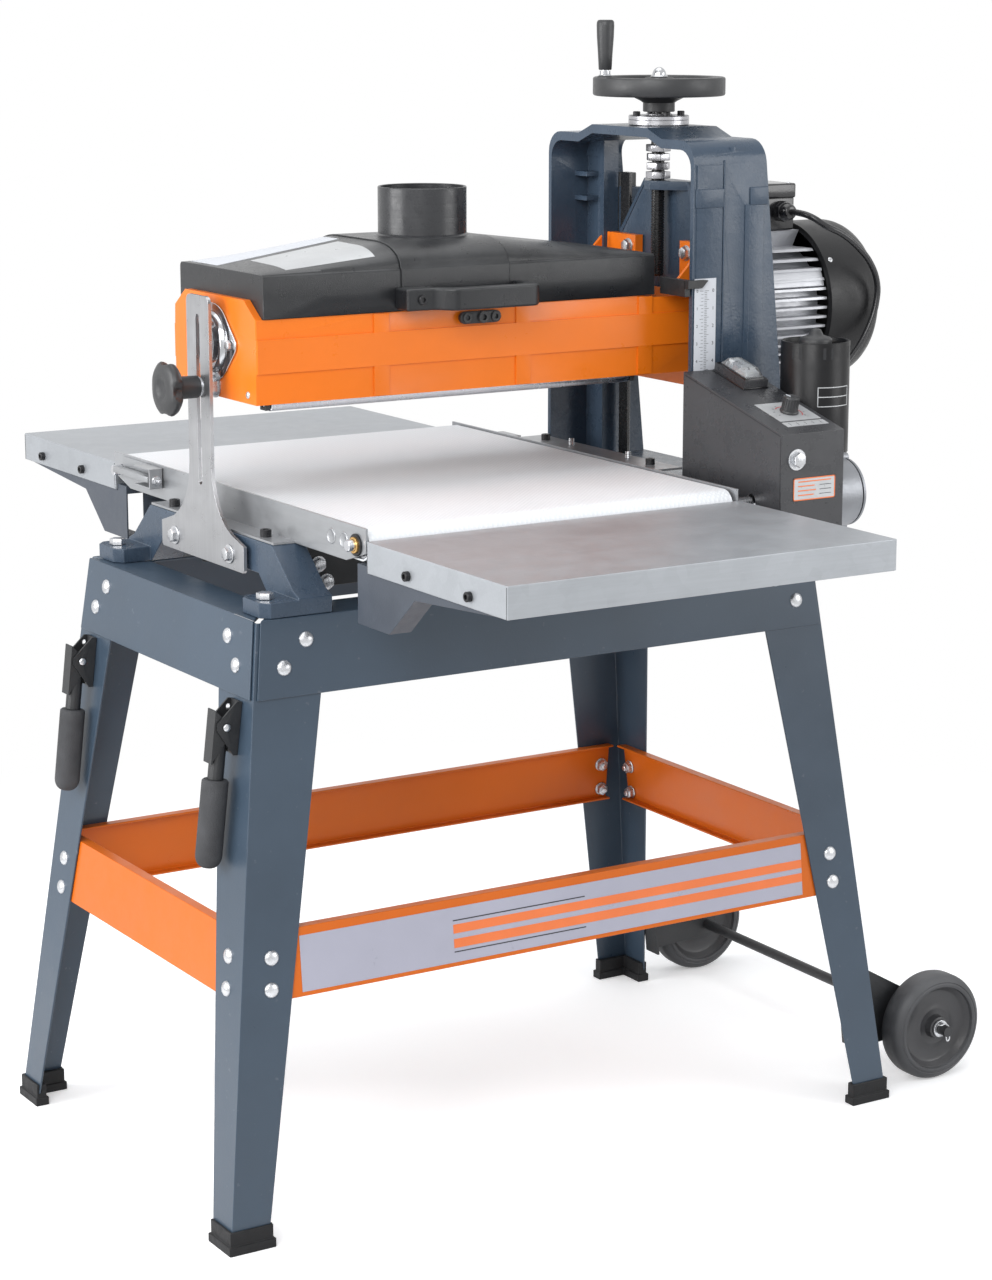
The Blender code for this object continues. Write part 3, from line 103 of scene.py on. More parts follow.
def finishMaterial(name, colour, rough=0.4, metal=0.0, shade=0.25, patch=9.0, roughSpread=0.12,
                   grain=600.0, grainDepth=0.0002, lumps=0.0, lumpSize=90.0, brush=None, brushDepth=0.0,
                   brushShade=0.15, specks=0.0, speckColour=(0.6, 0.6, 0.6), speckSize=120.0, coat=0.0,
                   cells=0.0, cellSize=45.0, dustAndSheen=0.0, spec=0.5):
    material = bpy.data.materials.new(name)
    material.use_nodes = True
    tree = material.node_tree
    shader = tree.nodes["Principled BSDF"]
    place = addNode(tree, "ShaderNodeTexCoord").outputs["Object"]
    light = (*[min(1.0, c * (1.0 + shade)) for c in colour], 1.0)
    dark = (*[c * (1.0 - shade) for c in colour], 1.0)
    broad = addNode(tree, "ShaderNodeTexNoise", in_Scale=patch, in_Detail=5.0, in_Roughness=0.6)
    tree.links.new(place, broad.inputs["Vector"])
    tone = addNode(tree, "ShaderNodeMapRange")
    tone.inputs["From Min"].default_value = 0.3
    tone.inputs["From Max"].default_value = 0.7
    tree.links.new(broad.outputs[0], tone.inputs["Value"])
    tint = mixColour(tree, tone.outputs[0], dark, light)
    fine = addNode(tree, "ShaderNodeTexNoise", in_Scale=grain, in_Detail=3.0, in_Roughness=0.55)
    tree.links.new(place, fine.inputs["Vector"])
    height = fine.outputs[0]
    bump = addNode(tree, "ShaderNodeBump", in_Strength=0.6, in_Distance=grainDepth)
    tree.links.new(height, bump.inputs["Height"])
    normal = bump.outputs[0]
    roughness = addNode(tree, "ShaderNodeMapRange")
    roughness.inputs["From Min"].default_value = 0.25
    roughness.inputs["From Max"].default_value = 0.75
    roughness.inputs["To Min"].default_value = max(0.02, rough - roughSpread)
    roughness.inputs["To Max"].default_value = min(1.0, rough + roughSpread)
    medium = addNode(tree, "ShaderNodeTexNoise", in_Scale=patch * 4.0, in_Detail=6.0, in_Roughness=0.7)
    tree.links.new(place, medium.inputs["Vector"])
    tree.links.new(medium.outputs[0], roughness.inputs["Value"])
    if lumps:  # slow waviness, as on a casting or a rolled sheet
        wide = addNode(tree, "ShaderNodeTexNoise", in_Scale=lumpSize, in_Detail=2.0)
        tree.links.new(place, wide.inputs["Vector"])
        second = addNode(tree, "ShaderNodeBump", in_Strength=0.5, in_Distance=lumps)
        tree.links.new(wide.outputs[0], second.inputs["Height"])
        tree.links.new(normal, second.inputs["Normal"])
        normal = second.outputs[0]
    if cells:  # zinc spangle
        flakes = addNode(tree, "ShaderNodeTexVoronoi", in_Scale=cellSize)
        tree.links.new(place, flakes.inputs["Vector"])
        pale = addNode(tree, "ShaderNodeMapRange")
        pale.inputs["To Min"].default_value = 1.0 - cells
        tree.links.new(flakes.outputs["Color"], pale.inputs["Value"])
        tint = mixColour(tree, 1.0, tint, pale.outputs[0], "MULTIPLY")
    if brush:  # fine scratches along one way
        stretch = addNode(tree, "ShaderNodeMapping", in_Scale=brush)
        tree.links.new(place, stretch.inputs["Vector"])
        lines = addNode(tree, "ShaderNodeTexNoise", in_Scale=1.0, in_Detail=4.0, in_Roughness=0.7)
        tree.links.new(stretch.outputs[0], lines.inputs["Vector"])
        streak = addNode(tree, "ShaderNodeMapRange")
        streak.inputs["From Min"].default_value = 0.3
        streak.inputs["From Max"].default_value = 0.7
        streak.inputs["To Min"].default_value = 1.0 - brushShade
        tree.links.new(lines.outputs[0], streak.inputs["Value"])
        tint = mixColour(tree, 1.0, tint, streak.outputs[0], "MULTIPLY")
        third = addNode(tree, "ShaderNodeBump", in_Strength=0.5, in_Distance=brushDepth)
        tree.links.new(lines.outputs[0], third.inputs["Height"])
        tree.links.new(normal, third.inputs["Normal"])
        normal = third.outputs[0]
    if specks:  # small chips or fibres
        dots = addNode(tree, "ShaderNodeTexNoise", in_Scale=speckSize, in_Detail=2.0)
        tree.links.new(place, dots.inputs["Vector"])
        mask = addNode(tree, "ShaderNodeMapRange")
        mask.inputs["From Min"].default_value = 0.72 - 0.1 * specks
        mask.inputs["From Max"].default_value = 0.78
        tree.links.new(dots.outputs[0], mask.inputs["Value"])
        tint = mixColour(tree, mask.outputs[0], tint, (*speckColour, 1.0))
    if dustAndSheen:  # paler colour on faces that look up: partly dust, partly painted sheen standing in for the reflection on top faces
        facing = addNode(tree, "ShaderNodeSeparateXYZ")
        tree.links.new(addNode(tree, "ShaderNodeNewGeometry").outputs["Normal"], facing.inputs[0])
        upwardDustAndSheen = addNode(tree, "ShaderNodeMath", operation="MULTIPLY", use_clamp=True)
        tree.links.new(facing.outputs["Z"], upwardDustAndSheen.inputs[0])
        tree.links.new(tone.outputs[0], upwardDustAndSheen.inputs[1])
        share = addNode(tree, "ShaderNodeMath", operation="MULTIPLY")
        share.inputs[1].default_value = dustAndSheen
        tree.links.new(upwardDustAndSheen.outputs[0], share.inputs[0])
        tint = mixColour(tree, share.outputs[0], tint, (0.55, 0.56, 0.57, 1.0))
    tree.links.new(tint, shader.inputs["Base Color"])
    tree.links.new(roughness.outputs[0], shader.inputs["Roughness"])
    tree.links.new(normal, shader.inputs["Normal"])
    shader.inputs["Metallic"].default_value = metal
    shader.inputs["Coat Weight"].default_value = coat
    shader.inputs["Coat Roughness"].default_value = 0.15
    shader.inputs["Specular IOR Level"].default_value = spec
    return material


standPaint = finishMaterial("standPaint", (0.040, 0.063, 0.093), rough=0.33, shade=0.10, patch=5.0,
                            roughSpread=0.07, grain=420.0, grainDepth=0.00012, lumps=0.0006,
                            lumpSize=14.0, specks=0.15, speckColour=(0.08, 0.10, 0.13))
castPaint = finishMaterial("castPaint", (0.042, 0.064, 0.096), rough=0.30, shade=0.12, patch=11.0,
                           grain=330.0, grainDepth=0.0004, lumps=0.0008, lumpSize=60.0, coat=0.08, spec=0.35)
bracketPaint = finishMaterial("bracketPaint", (0.050, 0.060, 0.078), rough=0.42, shade=0.10,
                              grain=500.0, grainDepth=0.0002, lumps=0.0004, lumpSize=30.0)
orangePaint = finishMaterial("orangePaint", (0.78, 0.170, 0.008), rough=0.32, shade=0.055, patch=6.0,
                             roughSpread=0.08, grain=350.0, grainDepth=0.00014, lumps=0.0007,
                             lumpSize=28.0, coat=0.12, spec=0.35)
bracePaint = finishMaterial("bracePaint", (0.64, 0.130, 0.006), rough=0.36, shade=0.05, patch=4.0,
                            grain=500.0, grainDepth=0.00012, lumps=0.0005, lumpSize=12.0, spec=0.35)
feedBlack = finishMaterial("feedBlack", (0.009, 0.009, 0.010), rough=0.34, shade=0.12, patch=8.0,
                           grain=700.0, grainDepth=0.0002, lumps=0.0003, lumpSize=22.0, spec=0.22)
boxPaint = finishMaterial("boxPaint", (0.042, 0.043, 0.047), rough=0.30, shade=0.12, patch=8.0,
                          grain=700.0, grainDepth=0.0003, lumps=0.0004, lumpSize=22.0)
ironPaint = finishMaterial("ironPaint", (0.020, 0.021, 0.023), rough=0.48, shade=0.2, patch=18.0,
                           grain=500.0, grainDepth=0.0003)
# the paler top faces of this plastic are painted sheen, standing in for the roof's reflection
hoodPlastic = finishMaterial("hoodPlastic", (0.014, 0.015, 0.017), rough=0.32, shade=0.13, patch=12.0,
                             roughSpread=0.10, grain=900.0, grainDepth=0.0005, lumps=0.0004,
                             lumpSize=40.0, dustAndSheen=0.12, spec=0.42)
portPlastic = finishMaterial("portPlastic", (0.026, 0.027, 0.030), rough=0.30, shade=0.14, patch=20.0,
                             grain=200.0, grainDepth=0.0001, brush=(3.0, 3.0, 260.0), brushDepth=0.0003)
cowlPlastic = finishMaterial("cowlPlastic", (0.010, 0.010, 0.011), rough=0.38, spec=0.3, shade=0.12,
                             patch=9.0,
                             grain=800.0, grainDepth=0.0004, lumps=0.0004, lumpSize=25.0, dustAndSheen=0.03)
glossPlastic = finishMaterial("glossPlastic", (0.014, 0.014, 0.016), rough=0.20, shade=0.2, patch=25.0,
                              roughSpread=0.07, grain=500.0, grainDepth=0.0001, coat=0.3)
knobPlastic = finishMaterial("knobPlastic", (0.026, 0.027, 0.029), rough=0.42, shade=0.15, patch=30.0,
                             grain=900.0, grainDepth=0.0003)
wheelRubber = finishMaterial("wheelRubber", (0.050, 0.051, 0.055), rough=0.58, shade=0.22, patch=22.0,
                             grain=600.0, grainDepth=0.0004, specks=0.25, speckColour=(0.08, 0.08, 0.08),
                             dustAndSheen=0.12)
wheelDisc = finishMaterial("wheelDisc", (0.036, 0.036, 0.039), rough=0.40, shade=0.2, patch=30.0)
bootRubber = finishMaterial("bootRubber", (0.006, 0.006, 0.007), rough=0.55, shade=0.2, patch=26.0,
                            grain=700.0, grainDepth=0.0004, dustAndSheen=0.04, spec=0.3)
foamGrip = finishMaterial("foamGrip", (0.060, 0.061, 0.065), rough=0.82, shade=0.22, patch=40.0,
                          grain=750.0, grainDepth=0.0011, spec=0.3)
cableRubber = finishMaterial("cableRubber", (0.016, 0.016, 0.018), rough=0.28, shade=0.15, patch=30.0,
                             grain=400.0, grainDepth=0.0002)
zincSheet = finishMaterial("zincSheet", (0.40, 0.42, 0.445), rough=0.42, metal=0.55, shade=0.05, patch=5.0,
                           roughSpread=0.07, grain=500.0, grainDepth=0.00008, cells=0.07, cellSize=70.0,
                           brush=(14.0, 340.0, 340.0), brushDepth=0.00006, brushShade=0.07)
railSheet = finishMaterial("railSheet", (0.38, 0.39, 0.405), rough=0.34, metal=0.65, shade=0.06, patch=22.0,
                           roughSpread=0.08, grain=260.0, grainDepth=0.00003, lumps=0.0004, lumpSize=16.0,
                           brush=(200.0, 9.0, 160.0), brushDepth=0.00002, brushShade=0.10)
armSteel = finishMaterial("armSteel", (0.45, 0.455, 0.47), rough=0.33, metal=0.9, shade=0.06, patch=14.0,
                          grain=500.0, grainDepth=0.0001, brush=(300.0, 420.0, 7.0), brushDepth=0.0001,
                          brushShade=0.12)
zincBolt = finishMaterial("zincBolt", (0.58, 0.59, 0.61), rough=0.30, metal=0.9, shade=0.12, patch=140.0,
                          grain=600.0, grainDepth=0.0002)
chromeSteel = finishMaterial("chromeSteel", (0.50, 0.51, 0.53), rough=0.16, metal=1.0, shade=0.05,
                             patch=60.0, roughSpread=0.05, grain=300.0, grainDepth=0.00004)
turnedSteel = finishMaterial("turnedSteel", (0.46, 0.46, 0.48), rough=0.30, metal=0.9, shade=0.06,
                             patch=40.0, brush=(20.0, 20.0, 500.0), brushDepth=0.00003, brushShade=0.10)
rollerSteel = finishMaterial("rollerSteel", (0.68, 0.69, 0.72), rough=0.24, metal=1.0, shade=0.08,
                             patch=14.0, brush=(700.0, 8.0, 8.0), brushDepth=0.00004, brushShade=0.10)
blackSteel = finishMaterial("blackSteel", (0.022, 0.022, 0.024), rough=0.34, metal=0.5, shade=0.2,
                            patch=80.0)
greaseSteel = finishMaterial("greaseSteel", (0.020, 0.020, 0.021), rough=0.28, metal=0.3, shade=0.25,
                             patch=70.0, coat=0.3)
brassMetal = finishMaterial("brassMetal", (0.72, 0.44, 0.16), rough=0.3, metal=1.0, shade=0.12,
                            patch=120.0)
castSilver = finishMaterial("castSilver", (0.27, 0.28, 0.30), rough=0.40, metal=0.7, shade=0.12, patch=20.0,
                            grain=420.0, grainDepth=0.0004, lumps=0.0006, lumpSize=70.0)
finSilver = finishMaterial("finSilver", (0.60, 0.61, 0.64), rough=0.42, metal=0.35, shade=0.05, patch=16.0,
                           grain=400.0, grainDepth=0.0002, brush=(9.0, 120.0, 160.0), brushDepth=0.00003,
                           brushShade=0.06)
drumMetal = finishMaterial("drumMetal", (0.62, 0.63, 0.64), rough=0.35, metal=0.9, shade=0.1)
paperGrit = finishMaterial("paperGrit", (0.30, 0.125, 0.065), rough=0.9, shade=0.2, patch=30.0,
                           grain=1400.0, grainDepth=0.0012, specks=0.6, speckColour=(0.16, 0.07, 0.04),
                           speckSize=900.0, spec=0.2)
labelGrey = finishMaterial("labelGrey", (0.40, 0.40, 0.48), rough=0.35, shade=0.04, patch=8.0)
labelSilver = finishMaterial("labelSilver", (0.52, 0.53, 0.54), rough=0.35, metal=0.3, shade=0.06,
                             patch=20.0)
labelWhite = finishMaterial("labelWhite", (0.60, 0.62, 0.66), rough=0.38, shade=0.03, patch=16.0)
labelOrange = finishMaterial("labelOrange", (0.82, 0.19, 0.05), rough=0.38, shade=0.05, patch=16.0)
labelInk = finishMaterial("labelInk", (0.03, 0.03, 0.035), rough=0.4, shade=0.1, patch=20.0)
labelRed = finishMaterial("labelRed", (0.55, 0.03, 0.03), rough=0.4, shade=0.1, patch=20.0)
# dark joints, and painted shade in the feed motor's slots and the port's throat
darkSeamAndShade = finishMaterial("darkSeamAndShade", (0.012, 0.013, 0.015), rough=0.7, shade=0.2, patch=60.0)
clearCover = finishMaterial("clearCover", (0.82, 0.84, 0.86), rough=0.08, shade=0.03, roughSpread=0.03,
                            patch=60.0, grain=200.0, grainDepth=0.00005)
clearCover.node_tree.nodes["Principled BSDF"].inputs["Transmission Weight"].default_value = 0.85
rockerWhite = finishMaterial("rockerWhite", (0.62, 0.64, 0.65), rough=0.3, shade=0.05, patch=60.0)


def beltMaterial():
    values = {"colour": (0.83, 0.85, 0.87), "pitch": 0.0042}
    material = finishMaterial("beltCloth", values["colour"], rough=0.62, shade=0.02, patch=6.0,
                              grain=900.0, grainDepth=0.0002)
    tree = material.node_tree
    shader = tree.nodes["Principled BSDF"]
    place = next(n for n in tree.nodes if n.bl_idname == "ShaderNodeTexCoord").outputs["Object"]
    heights = []
    for turn in (45.0, -45.0):  # small diamond emboss
        mapping = addNode(tree, "ShaderNodeMapping", in_Rotation=(0.0, 0.0, radians(turn)))
        wave = addNode(tree, "ShaderNodeTexWave", wave_type="BANDS", bands_direction="X")
        wave.inputs["Scale"].default_value = 0.314 / values["pitch"]
        tree.links.new(place, mapping.inputs["Vector"])
        tree.links.new(mapping.outputs[0], wave.inputs["Vector"])
        heights.append(wave.outputs["Fac"])
    both = addNode(tree, "ShaderNodeMath", operation="MULTIPLY")
    tree.links.new(heights[0], both.inputs[0])
    tree.links.new(heights[1], both.inputs[1])
    bump = addNode(tree, "ShaderNodeBump", in_Strength=0.7, in_Distance=0.0005)
    tree.links.new(both.outputs[0], bump.inputs["Height"])
    tree.links.new(shader.inputs["Normal"].links[0].from_socket, bump.inputs["Normal"])
    tree.links.new(bump.outputs[0], shader.inputs["Normal"])
    old = shader.inputs["Base Color"].links[0].from_socket
    dimple = mixColour(tree, both.outputs[0], (0.90, 0.90, 0.905, 1.0), (1.0, 1.0, 1.0, 1.0))
    tree.links.new(mixColour(tree, 1.0, old, dimple, "MULTIPLY"), shader.inputs["Base Color"])
    return material


beltCloth = beltMaterial()
print("materials made:", len(bpy.data.materials))


# shaping tools
def aim(place, direction):  # stands a piece drawn along Z on a place, facing a direction
    return Matrix.Translation(Vector(place)) @ Vector(direction).to_track_quat("Z", "Y").to_matrix().to_4x4()


def at(x, y, z):
    return Matrix.Translation((x, y, z))


def turned(angle, axis):
    return Matrix.Rotation(angle, 4, axis)


def absorb(bm, part, matrix=None):
    if matrix is not None:
        bmesh.ops.transform(part, matrix=matrix, verts=part.verts)
    holder = bpy.data.meshes.new("holder")
    part.to_mesh(holder)
    part.free()
    bm.from_mesh(holder)
    bpy.data.meshes.remove(holder)
    return bm


def lathe(profile, steps=48):  # profile points are (along, radius), turned about Z
    part = bmesh.new()
    line = [part.verts.new((radius, 0.0, along)) for along, radius in profile]
    edges = [part.edges.new(pair) for pair in zip(line, line[1:])]
    bmesh.ops.spin(part, geom=line + edges, cent=(0.0, 0.0, 0.0), axis=(0.0, 0.0, 1.0),
                   angle=2.0 * pi, steps=steps, use_merge=True)
    bmesh.ops.remove_doubles(part, verts=part.verts, dist=1e-6)
    bmesh.ops.recalc_face_normals(part, faces=part.faces)
    return part


def lathed(profile, place, direction=(0.0, 0.0, 1.0), steps=48):
    return absorb(bmesh.new(), lathe(profile, steps), aim(place, direction))


def soften(bm, edges, width, segments=2):
    bmesh.ops.bevel(bm, geom=edges, offset=width, segments=segments, profile=0.5, material=-1,
                    affect="EDGES")


def block(low, high, edge=0.0, segments=2):
    part = bmesh.new()
    bmesh.ops.create_cube(part, size=1.0)
    low, high = Vector(low), Vector(high)
    bmesh.ops.scale(part, vec=high - low, verts=part.verts)
    bmesh.ops.translate(part, vec=(low + high) / 2.0, verts=part.verts)
    if edge:
        soften(part, part.edges[:], edge, segments)
    return part


def grownVerts(geometry):
    return [v for v in geometry if isinstance(v, bmesh.types.BMVert)]


def outline(points, axis, start, depth, edge=0.0, segments=2):  # a flat outline pushed along an axis
    order = {"x": lambda a, b: (start, a, b), "y": lambda a, b: (a, start, b),
             "z": lambda a, b: (a, b, start)}[axis]
    part = bmesh.new()
    face = part.faces.new([part.verts.new(order(a, b)) for a, b in points])
    pushed = bmesh.ops.extrude_face_region(part, geom=[face])["geom"]
    push = Vector([depth if letter == axis else 0.0 for letter in "xyz"])
    bmesh.ops.translate(part, vec=push, verts=grownVerts(pushed))
    bmesh.ops.recalc_face_normals(part, faces=part.faces)
    if edge:
        soften(part, part.edges[:], edge, segments)
    return part


def ring(centre, radius, first, last, steps):
    turns = [radians(first + (last - first) * i / steps) for i in range(steps + 1)]
    return [(centre[0] + radius * cos(a), centre[1] + radius * sin(a)) for a in turns]


def hexHead(flats=0.013, height=0.0055, washer=0.0085, stub=0.0):
    part = bmesh.new()
    radius = flats / sqrt(3.0)
    bmesh.ops.create_cone(part, cap_ends=True, segments=6, radius1=radius, radius2=radius, depth=height)
    bmesh.ops.translate(part, vec=(0.0, 0.0, height / 2.0 + 0.0012), verts=part.verts)
    top = [e for e in part.edges if all(v.co.z > height for v in e.verts)]
    soften(part, top, flats * 0.06, 2)
    if washer:
        absorb(part, lathe([(0.0, 0.0), (0.0, washer), (0.0011, washer), (0.0014, washer - 0.0004),
                            (0.0014, 0.0)], 32))
    if stub:
        absorb(part, lathe([(height, 0.0), (height, flats * 0.29), (height + stub, flats * 0.29),
                            (height + stub + 0.0008, flats * 0.2), (height + stub + 0.0008, 0.0)], 20))
    return part


def socketHead(radius=0.0045, height=0.0050):
    return lathe([(0.0, 0.0), (0.0, radius), (height - 0.0006, radius), (height, radius - 0.0006),
                  (height, radius * 0.52), (height * 0.4, radius * 0.50), (height * 0.4, 0.0)], 24)


def domeHead(radius=0.0085, height=0.0042):
    curve = [(height * sin(t), radius * cos(t)) for t in [pi / 2.0 * i / 6 for i in range(7)]]
    return lathe([(-0.0005, 0.0), (-0.0005, radius)] + curve[:-1] + [(height, 0.0)], 24)


def curveMesh(curve):  # turns a curve or a text into a mesh
    holder = bpy.data.objects.new(curve.name, curve)
    bpy.context.scene.collection.objects.link(holder)
    graph = bpy.context.evaluated_depsgraph_get()
    mesh = bpy.data.meshes.new_from_object(holder.evaluated_get(graph))
    part = bmesh.new()
    part.from_mesh(mesh)
    bpy.data.objects.remove(holder, do_unlink=True)
    bpy.data.curves.remove(curve)
    bpy.data.meshes.remove(mesh)
    return part


def wire(points, radius, closed=False):  # round wire along a few points
    curve = bpy.data.curves.new("wire", "CURVE")
    curve.dimensions = "3D"
    curve.bevel_depth = radius
    curve.bevel_resolution = 3
    curve.resolution_u = 8
    curve.use_fill_caps = not closed
    line = curve.splines.new("BEZIER")
    line.bezier_points.add(len(points) - 1)
    for point, place in zip(line.bezier_points, points):
        point.co = place
        point.handle_left_type = point.handle_right_type = "AUTO"
    line.use_cyclic_u = closed
    return curveMesh(curve)


def letters(text, size, depth=0.0002):  # numbers for scales, drawn in the XY plane
    curve = bpy.data.curves.new("letters", "FONT")
    curve.body = text
    curve.size = size
    curve.extrude = depth
    curve.align_x = "CENTER"
    curve.align_y = "CENTER"
    curve.resolution_u = 3
    return curveMesh(curve)


def addPiece(name, bm, material, body, replaced=(), sharp=32.0, shifted=True, edge=0.0,
             segments=2, fixNormals=True):
    bmesh.ops.remove_doubles(bm, verts=bm.verts, dist=1e-6)
    if fixNormals:
        bmesh.ops.recalc_face_normals(bm, faces=bm.faces)
    if shifted:
        bmesh.ops.translate(bm, verts=bm.verts, vec=standShift)
    mesh = bpy.data.meshes.new(name)
    bm.to_mesh(mesh)
    bm.free()
    mesh.materials.append(material)
    mesh.shade_smooth()
    mesh.set_sharp_from_angle(angle=radians(sharp))
    piece = bpy.data.objects.new(name, mesh)
    bpy.context.scene.collection.objects.link(piece)
    if edge:
        softened = piece.modifiers.new("edge", "BEVEL")
        softened.width = edge
        softened.segments = segments
        softened.limit_method = "ANGLE"
        softened.angle_limit = radians(28.0)
        softened.harden_normals = True
        softened.miter_outer = "MITER_ARC"
    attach(piece, body)
    if replaced:
        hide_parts(*replaced)
    return piece


def nodeCopy(node):  # a welded copy of a node's mesh, with its flat faces whole again
    bm = bmesh.new()
    bm.from_mesh(frame["nodes"][node].data)
    bmesh.ops.remove_doubles(bm, verts=bm.verts, dist=4e-6)
    bmesh.ops.dissolve_limit(bm, angle_limit=radians(0.5), verts=bm.verts, edges=bm.edges)
    return bm


def refine(node, material, edge=0.0008, segments=2, sharp=32.0):
    return addPiece(node + "_shape", nodeCopy(node), material, frame["nodes"][node]["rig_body"],
                    [node], sharp, shifted=False, edge=edge, segments=segments)


def scatter(name, material, body, heads):  # many fasteners as one piece
    bm = bmesh.new()
    for part, place, direction in heads:
        absorb(bm, part, aim(place, direction))
    return addPiece(name, bm, material, body)


# stand
stand = {"top": 0.6633, "bottom": 0.012, "railHalf": (0.3645, 0.2118), "legTop": (0.3620, 0.2093),
         "legFoot": (0.4385, 0.2775), "edge": 0.0009,
         "railBolts": (((0.3066, 0.6390), (0.3345, 0.6119)), ((0.1530, 0.6386), (0.1770, 0.6114))),
         "braceBolts": (((0.3700, 0.3085), (0.3725, 0.2745)), ((0.2133, 0.3075), (0.2150, 0.2725)))}
corners = [(-1, -1), (1, -1), (-1, 1), (1, 1)]
slope = [(stand["legFoot"][i] - stand["legTop"][i]) / (stand["top"] - stand["bottom"]) for i in (0, 1)]


def standFace(across, sign, along, z, base, lift=0.0):  # a place on a leaning outer face, and its normal
    reach = base + slope[across] * (stand["top"] - z)
    normal = Vector((0.0, 0.0, slope[across]))
    normal[across] = sign
    normal.normalize()
    place = Vector((0.0, 0.0, z))
    place[across] = sign * reach
    place[1 - across] = along
    return place + normal * lift, normal


def makeStand():
    for node in frame["nodes"]:
        if node.startswith(("leg_", "rail_")):
            refine(node, standPaint, stand["edge"], 2)
        elif node.startswith("brace_"):
            refine(node, bracePaint, 0.0009, 2)
        elif node.startswith("foot_"):
            refine(node, bootRubber, 0.0014, 3)
    heads, nuts = [], []
    for xSign, ySign in corners:
        for across, signs in ((1, (xSign, ySign)), (0, (ySign, xSign))):
            for along, z in stand["railBolts"][0 if across == 1 else 1]:
                place, normal = standFace(across, signs[1], signs[0] * along, z, stand["railHalf"][across])
                heads.append((domeHead(), place, normal))
                nuts.append((hexHead(0.013, 0.006, 0.0085, 0.004), place - normal * 0.0062, -normal))
            for along, z in stand["braceBolts"][0 if across == 1 else 1]:
                place, normal = standFace(across, signs[1], signs[0] * along, z, stand["legTop"][across])
                heads.append((domeHead(), place, normal))
                nuts.append((hexHead(0.013, 0.006, 0.0085, 0.004), place - normal * 0.0058, -normal))
    scatter("stand_bolt_heads", zincBolt, "base", heads)
    scatter("stand_nuts", zincBolt, "base", nuts)
    # painted highlight: a thin bright metal strip along the left rail's top edge stands in for light on the
    # bent edge
    streak = block((-0.36475, -0.2085, 0.66325), (-0.36375, -0.1640, 0.66365), 0.0001, 1)
    addPiece("rail_left_edge_highlight", streak, zincBolt, "base")


def makeBraceLabel():
    label = {"left": -0.3345, "right": 0.3295, "low": 0.2650, "high": 0.3258,
             "stripes": ((0.2858, 0.0100), (0.3018, 0.0098)), "stripeLeft": -0.146, "lines": (-0.146, 0.026)}
    reach = 0.2093 - 0.0028

    def strip(left, right, low, high, lift, thick):
        bm = block((left, -thick, low), (right, 0.0, high))
        for vertex in bm.verts:
            vertex.co.y += -(reach + slope[1] * (stand["top"] - vertex.co.z)) - lift
        return bm
    panel = strip(label["left"], label["right"], label["low"], label["high"], 0.0, 0.0004)
    addPiece("brace_front_panel", panel, labelGrey, "base")
    bm = bmesh.new()
    for middle, half in label["stripes"]:
        absorb(bm, strip(label["stripeLeft"], label["right"], middle - half / 2, middle + half / 2, 0.0004,
                         0.0003))
    addPiece("brace_front_stripes", bm, labelOrange, "base")
    bm = bmesh.new()
    for z in (0.2765, 0.3112):
        absorb(bm, strip(label["lines"][0], label["lines"][1], z - 0.0006, z + 0.0006, 0.0004, 0.0003))
    addPiece("brace_front_lines", bm, labelInk, "base")


def makeWheels():
    wheel = {"centre": Vector((0.531, 0.0, 0.0668)), "radius": 0.0662, "face": 0.266, "width": 0.038,
             "disc": 0.0505, "hub": 0.0135}
    half = wheel["width"] / 2.0
    r, disc = wheel["radius"], wheel["disc"]
    for name, sign in (("front", -1), ("rear", 1)):
        middle = Vector((wheel["centre"].x, sign * (wheel["face"] - half), wheel["centre"].z))
        profile = [(-half + 0.004, disc), (-half + 0.0006, disc + 0.0012), (-half, disc + 0.003),
                   (-half + 0.0004, disc + 0.0055), (-half + 0.0012, disc + 0.0062),
                   (-half + 0.0006, disc + 0.0072), (-half + 0.0012, r - 0.0072),
                   (-half + 0.0030, r - 0.0046),
                   (-half + 0.0062, r - 0.0016), (-half + 0.0105, r - 0.0002), (-half + 0.0130, r)]
        side = profile + [(-a, radius) for a, radius in reversed(profile)]
        tyre = lathed(side + [side[0]], middle, (0.0, 1.0, 0.0), 72)
        addPiece("wheel_%s_tyre" % name, tyre, wheelRubber, "wheel_" + name, ["wheel_" + name], 40)
        web = [(-half + 0.0016, 0.0072), (-half + 0.0010, 0.0080), (-half + 0.0010, wheel["hub"] - 0.001),
               (-half + 0.0018, wheel["hub"]), (-0.0085, wheel["hub"] + 0.0012), (-0.0078, 0.020),
               (-0.0085, 0.0215), (-0.0085, 0.0235), (-0.0075, 0.0250), (-0.0070, disc - 0.007),
               (-0.0085, disc - 0.005), (-half + 0.0052, disc - 0.0012), (-half + 0.0042, disc)]
        side = web + [(-a, radius) for a, radius in reversed(web)]
        addPiece("wheel_%s_disc" % name, lathed(side + [side[0]], middle, (0.0, 1.0, 0.0), 64),
                 wheelDisc, "wheel_" + name, sharp=40)
        end = Vector((middle.x, sign * (wheel["face"] + 0.0008), middle.z))
        cap = lathed([(-0.0006, 0.0068), (-0.0006, 0.0105), (0.0012, 0.0105), (0.0016, 0.0100),
                      (0.0016, 0.0068), (-0.0006, 0.0068)], end, (0.0, sign, 0.0), 32)
        addPiece("axle_washer_" + name, cap, zincBolt, "base")
        y = sign * (wheel["face"] + 0.0075)
        x, z = middle.x, middle.z
        pin = wire([(x - 0.0105, y, z + 0.0088), (x - 0.0045, y, z + 0.0066), (x + 0.0020, y, z + 0.0072),
                    (x + 0.0075, y, z + 0.0020), (x + 0.0050, y, z - 0.0060), (x + 0.0042, y, z - 0.0108),
                    (x + 0.0064, y, z - 0.0150), (x + 0.0092, y, z - 0.0112), (x + 0.0068, y, z - 0.0070)],
                   0.0009)
        addPiece("axle_clip_" + name, pin, zincBolt, "base", fixNormals=False)
    refine("axle_frame", ironPaint, 0.0005, 2)


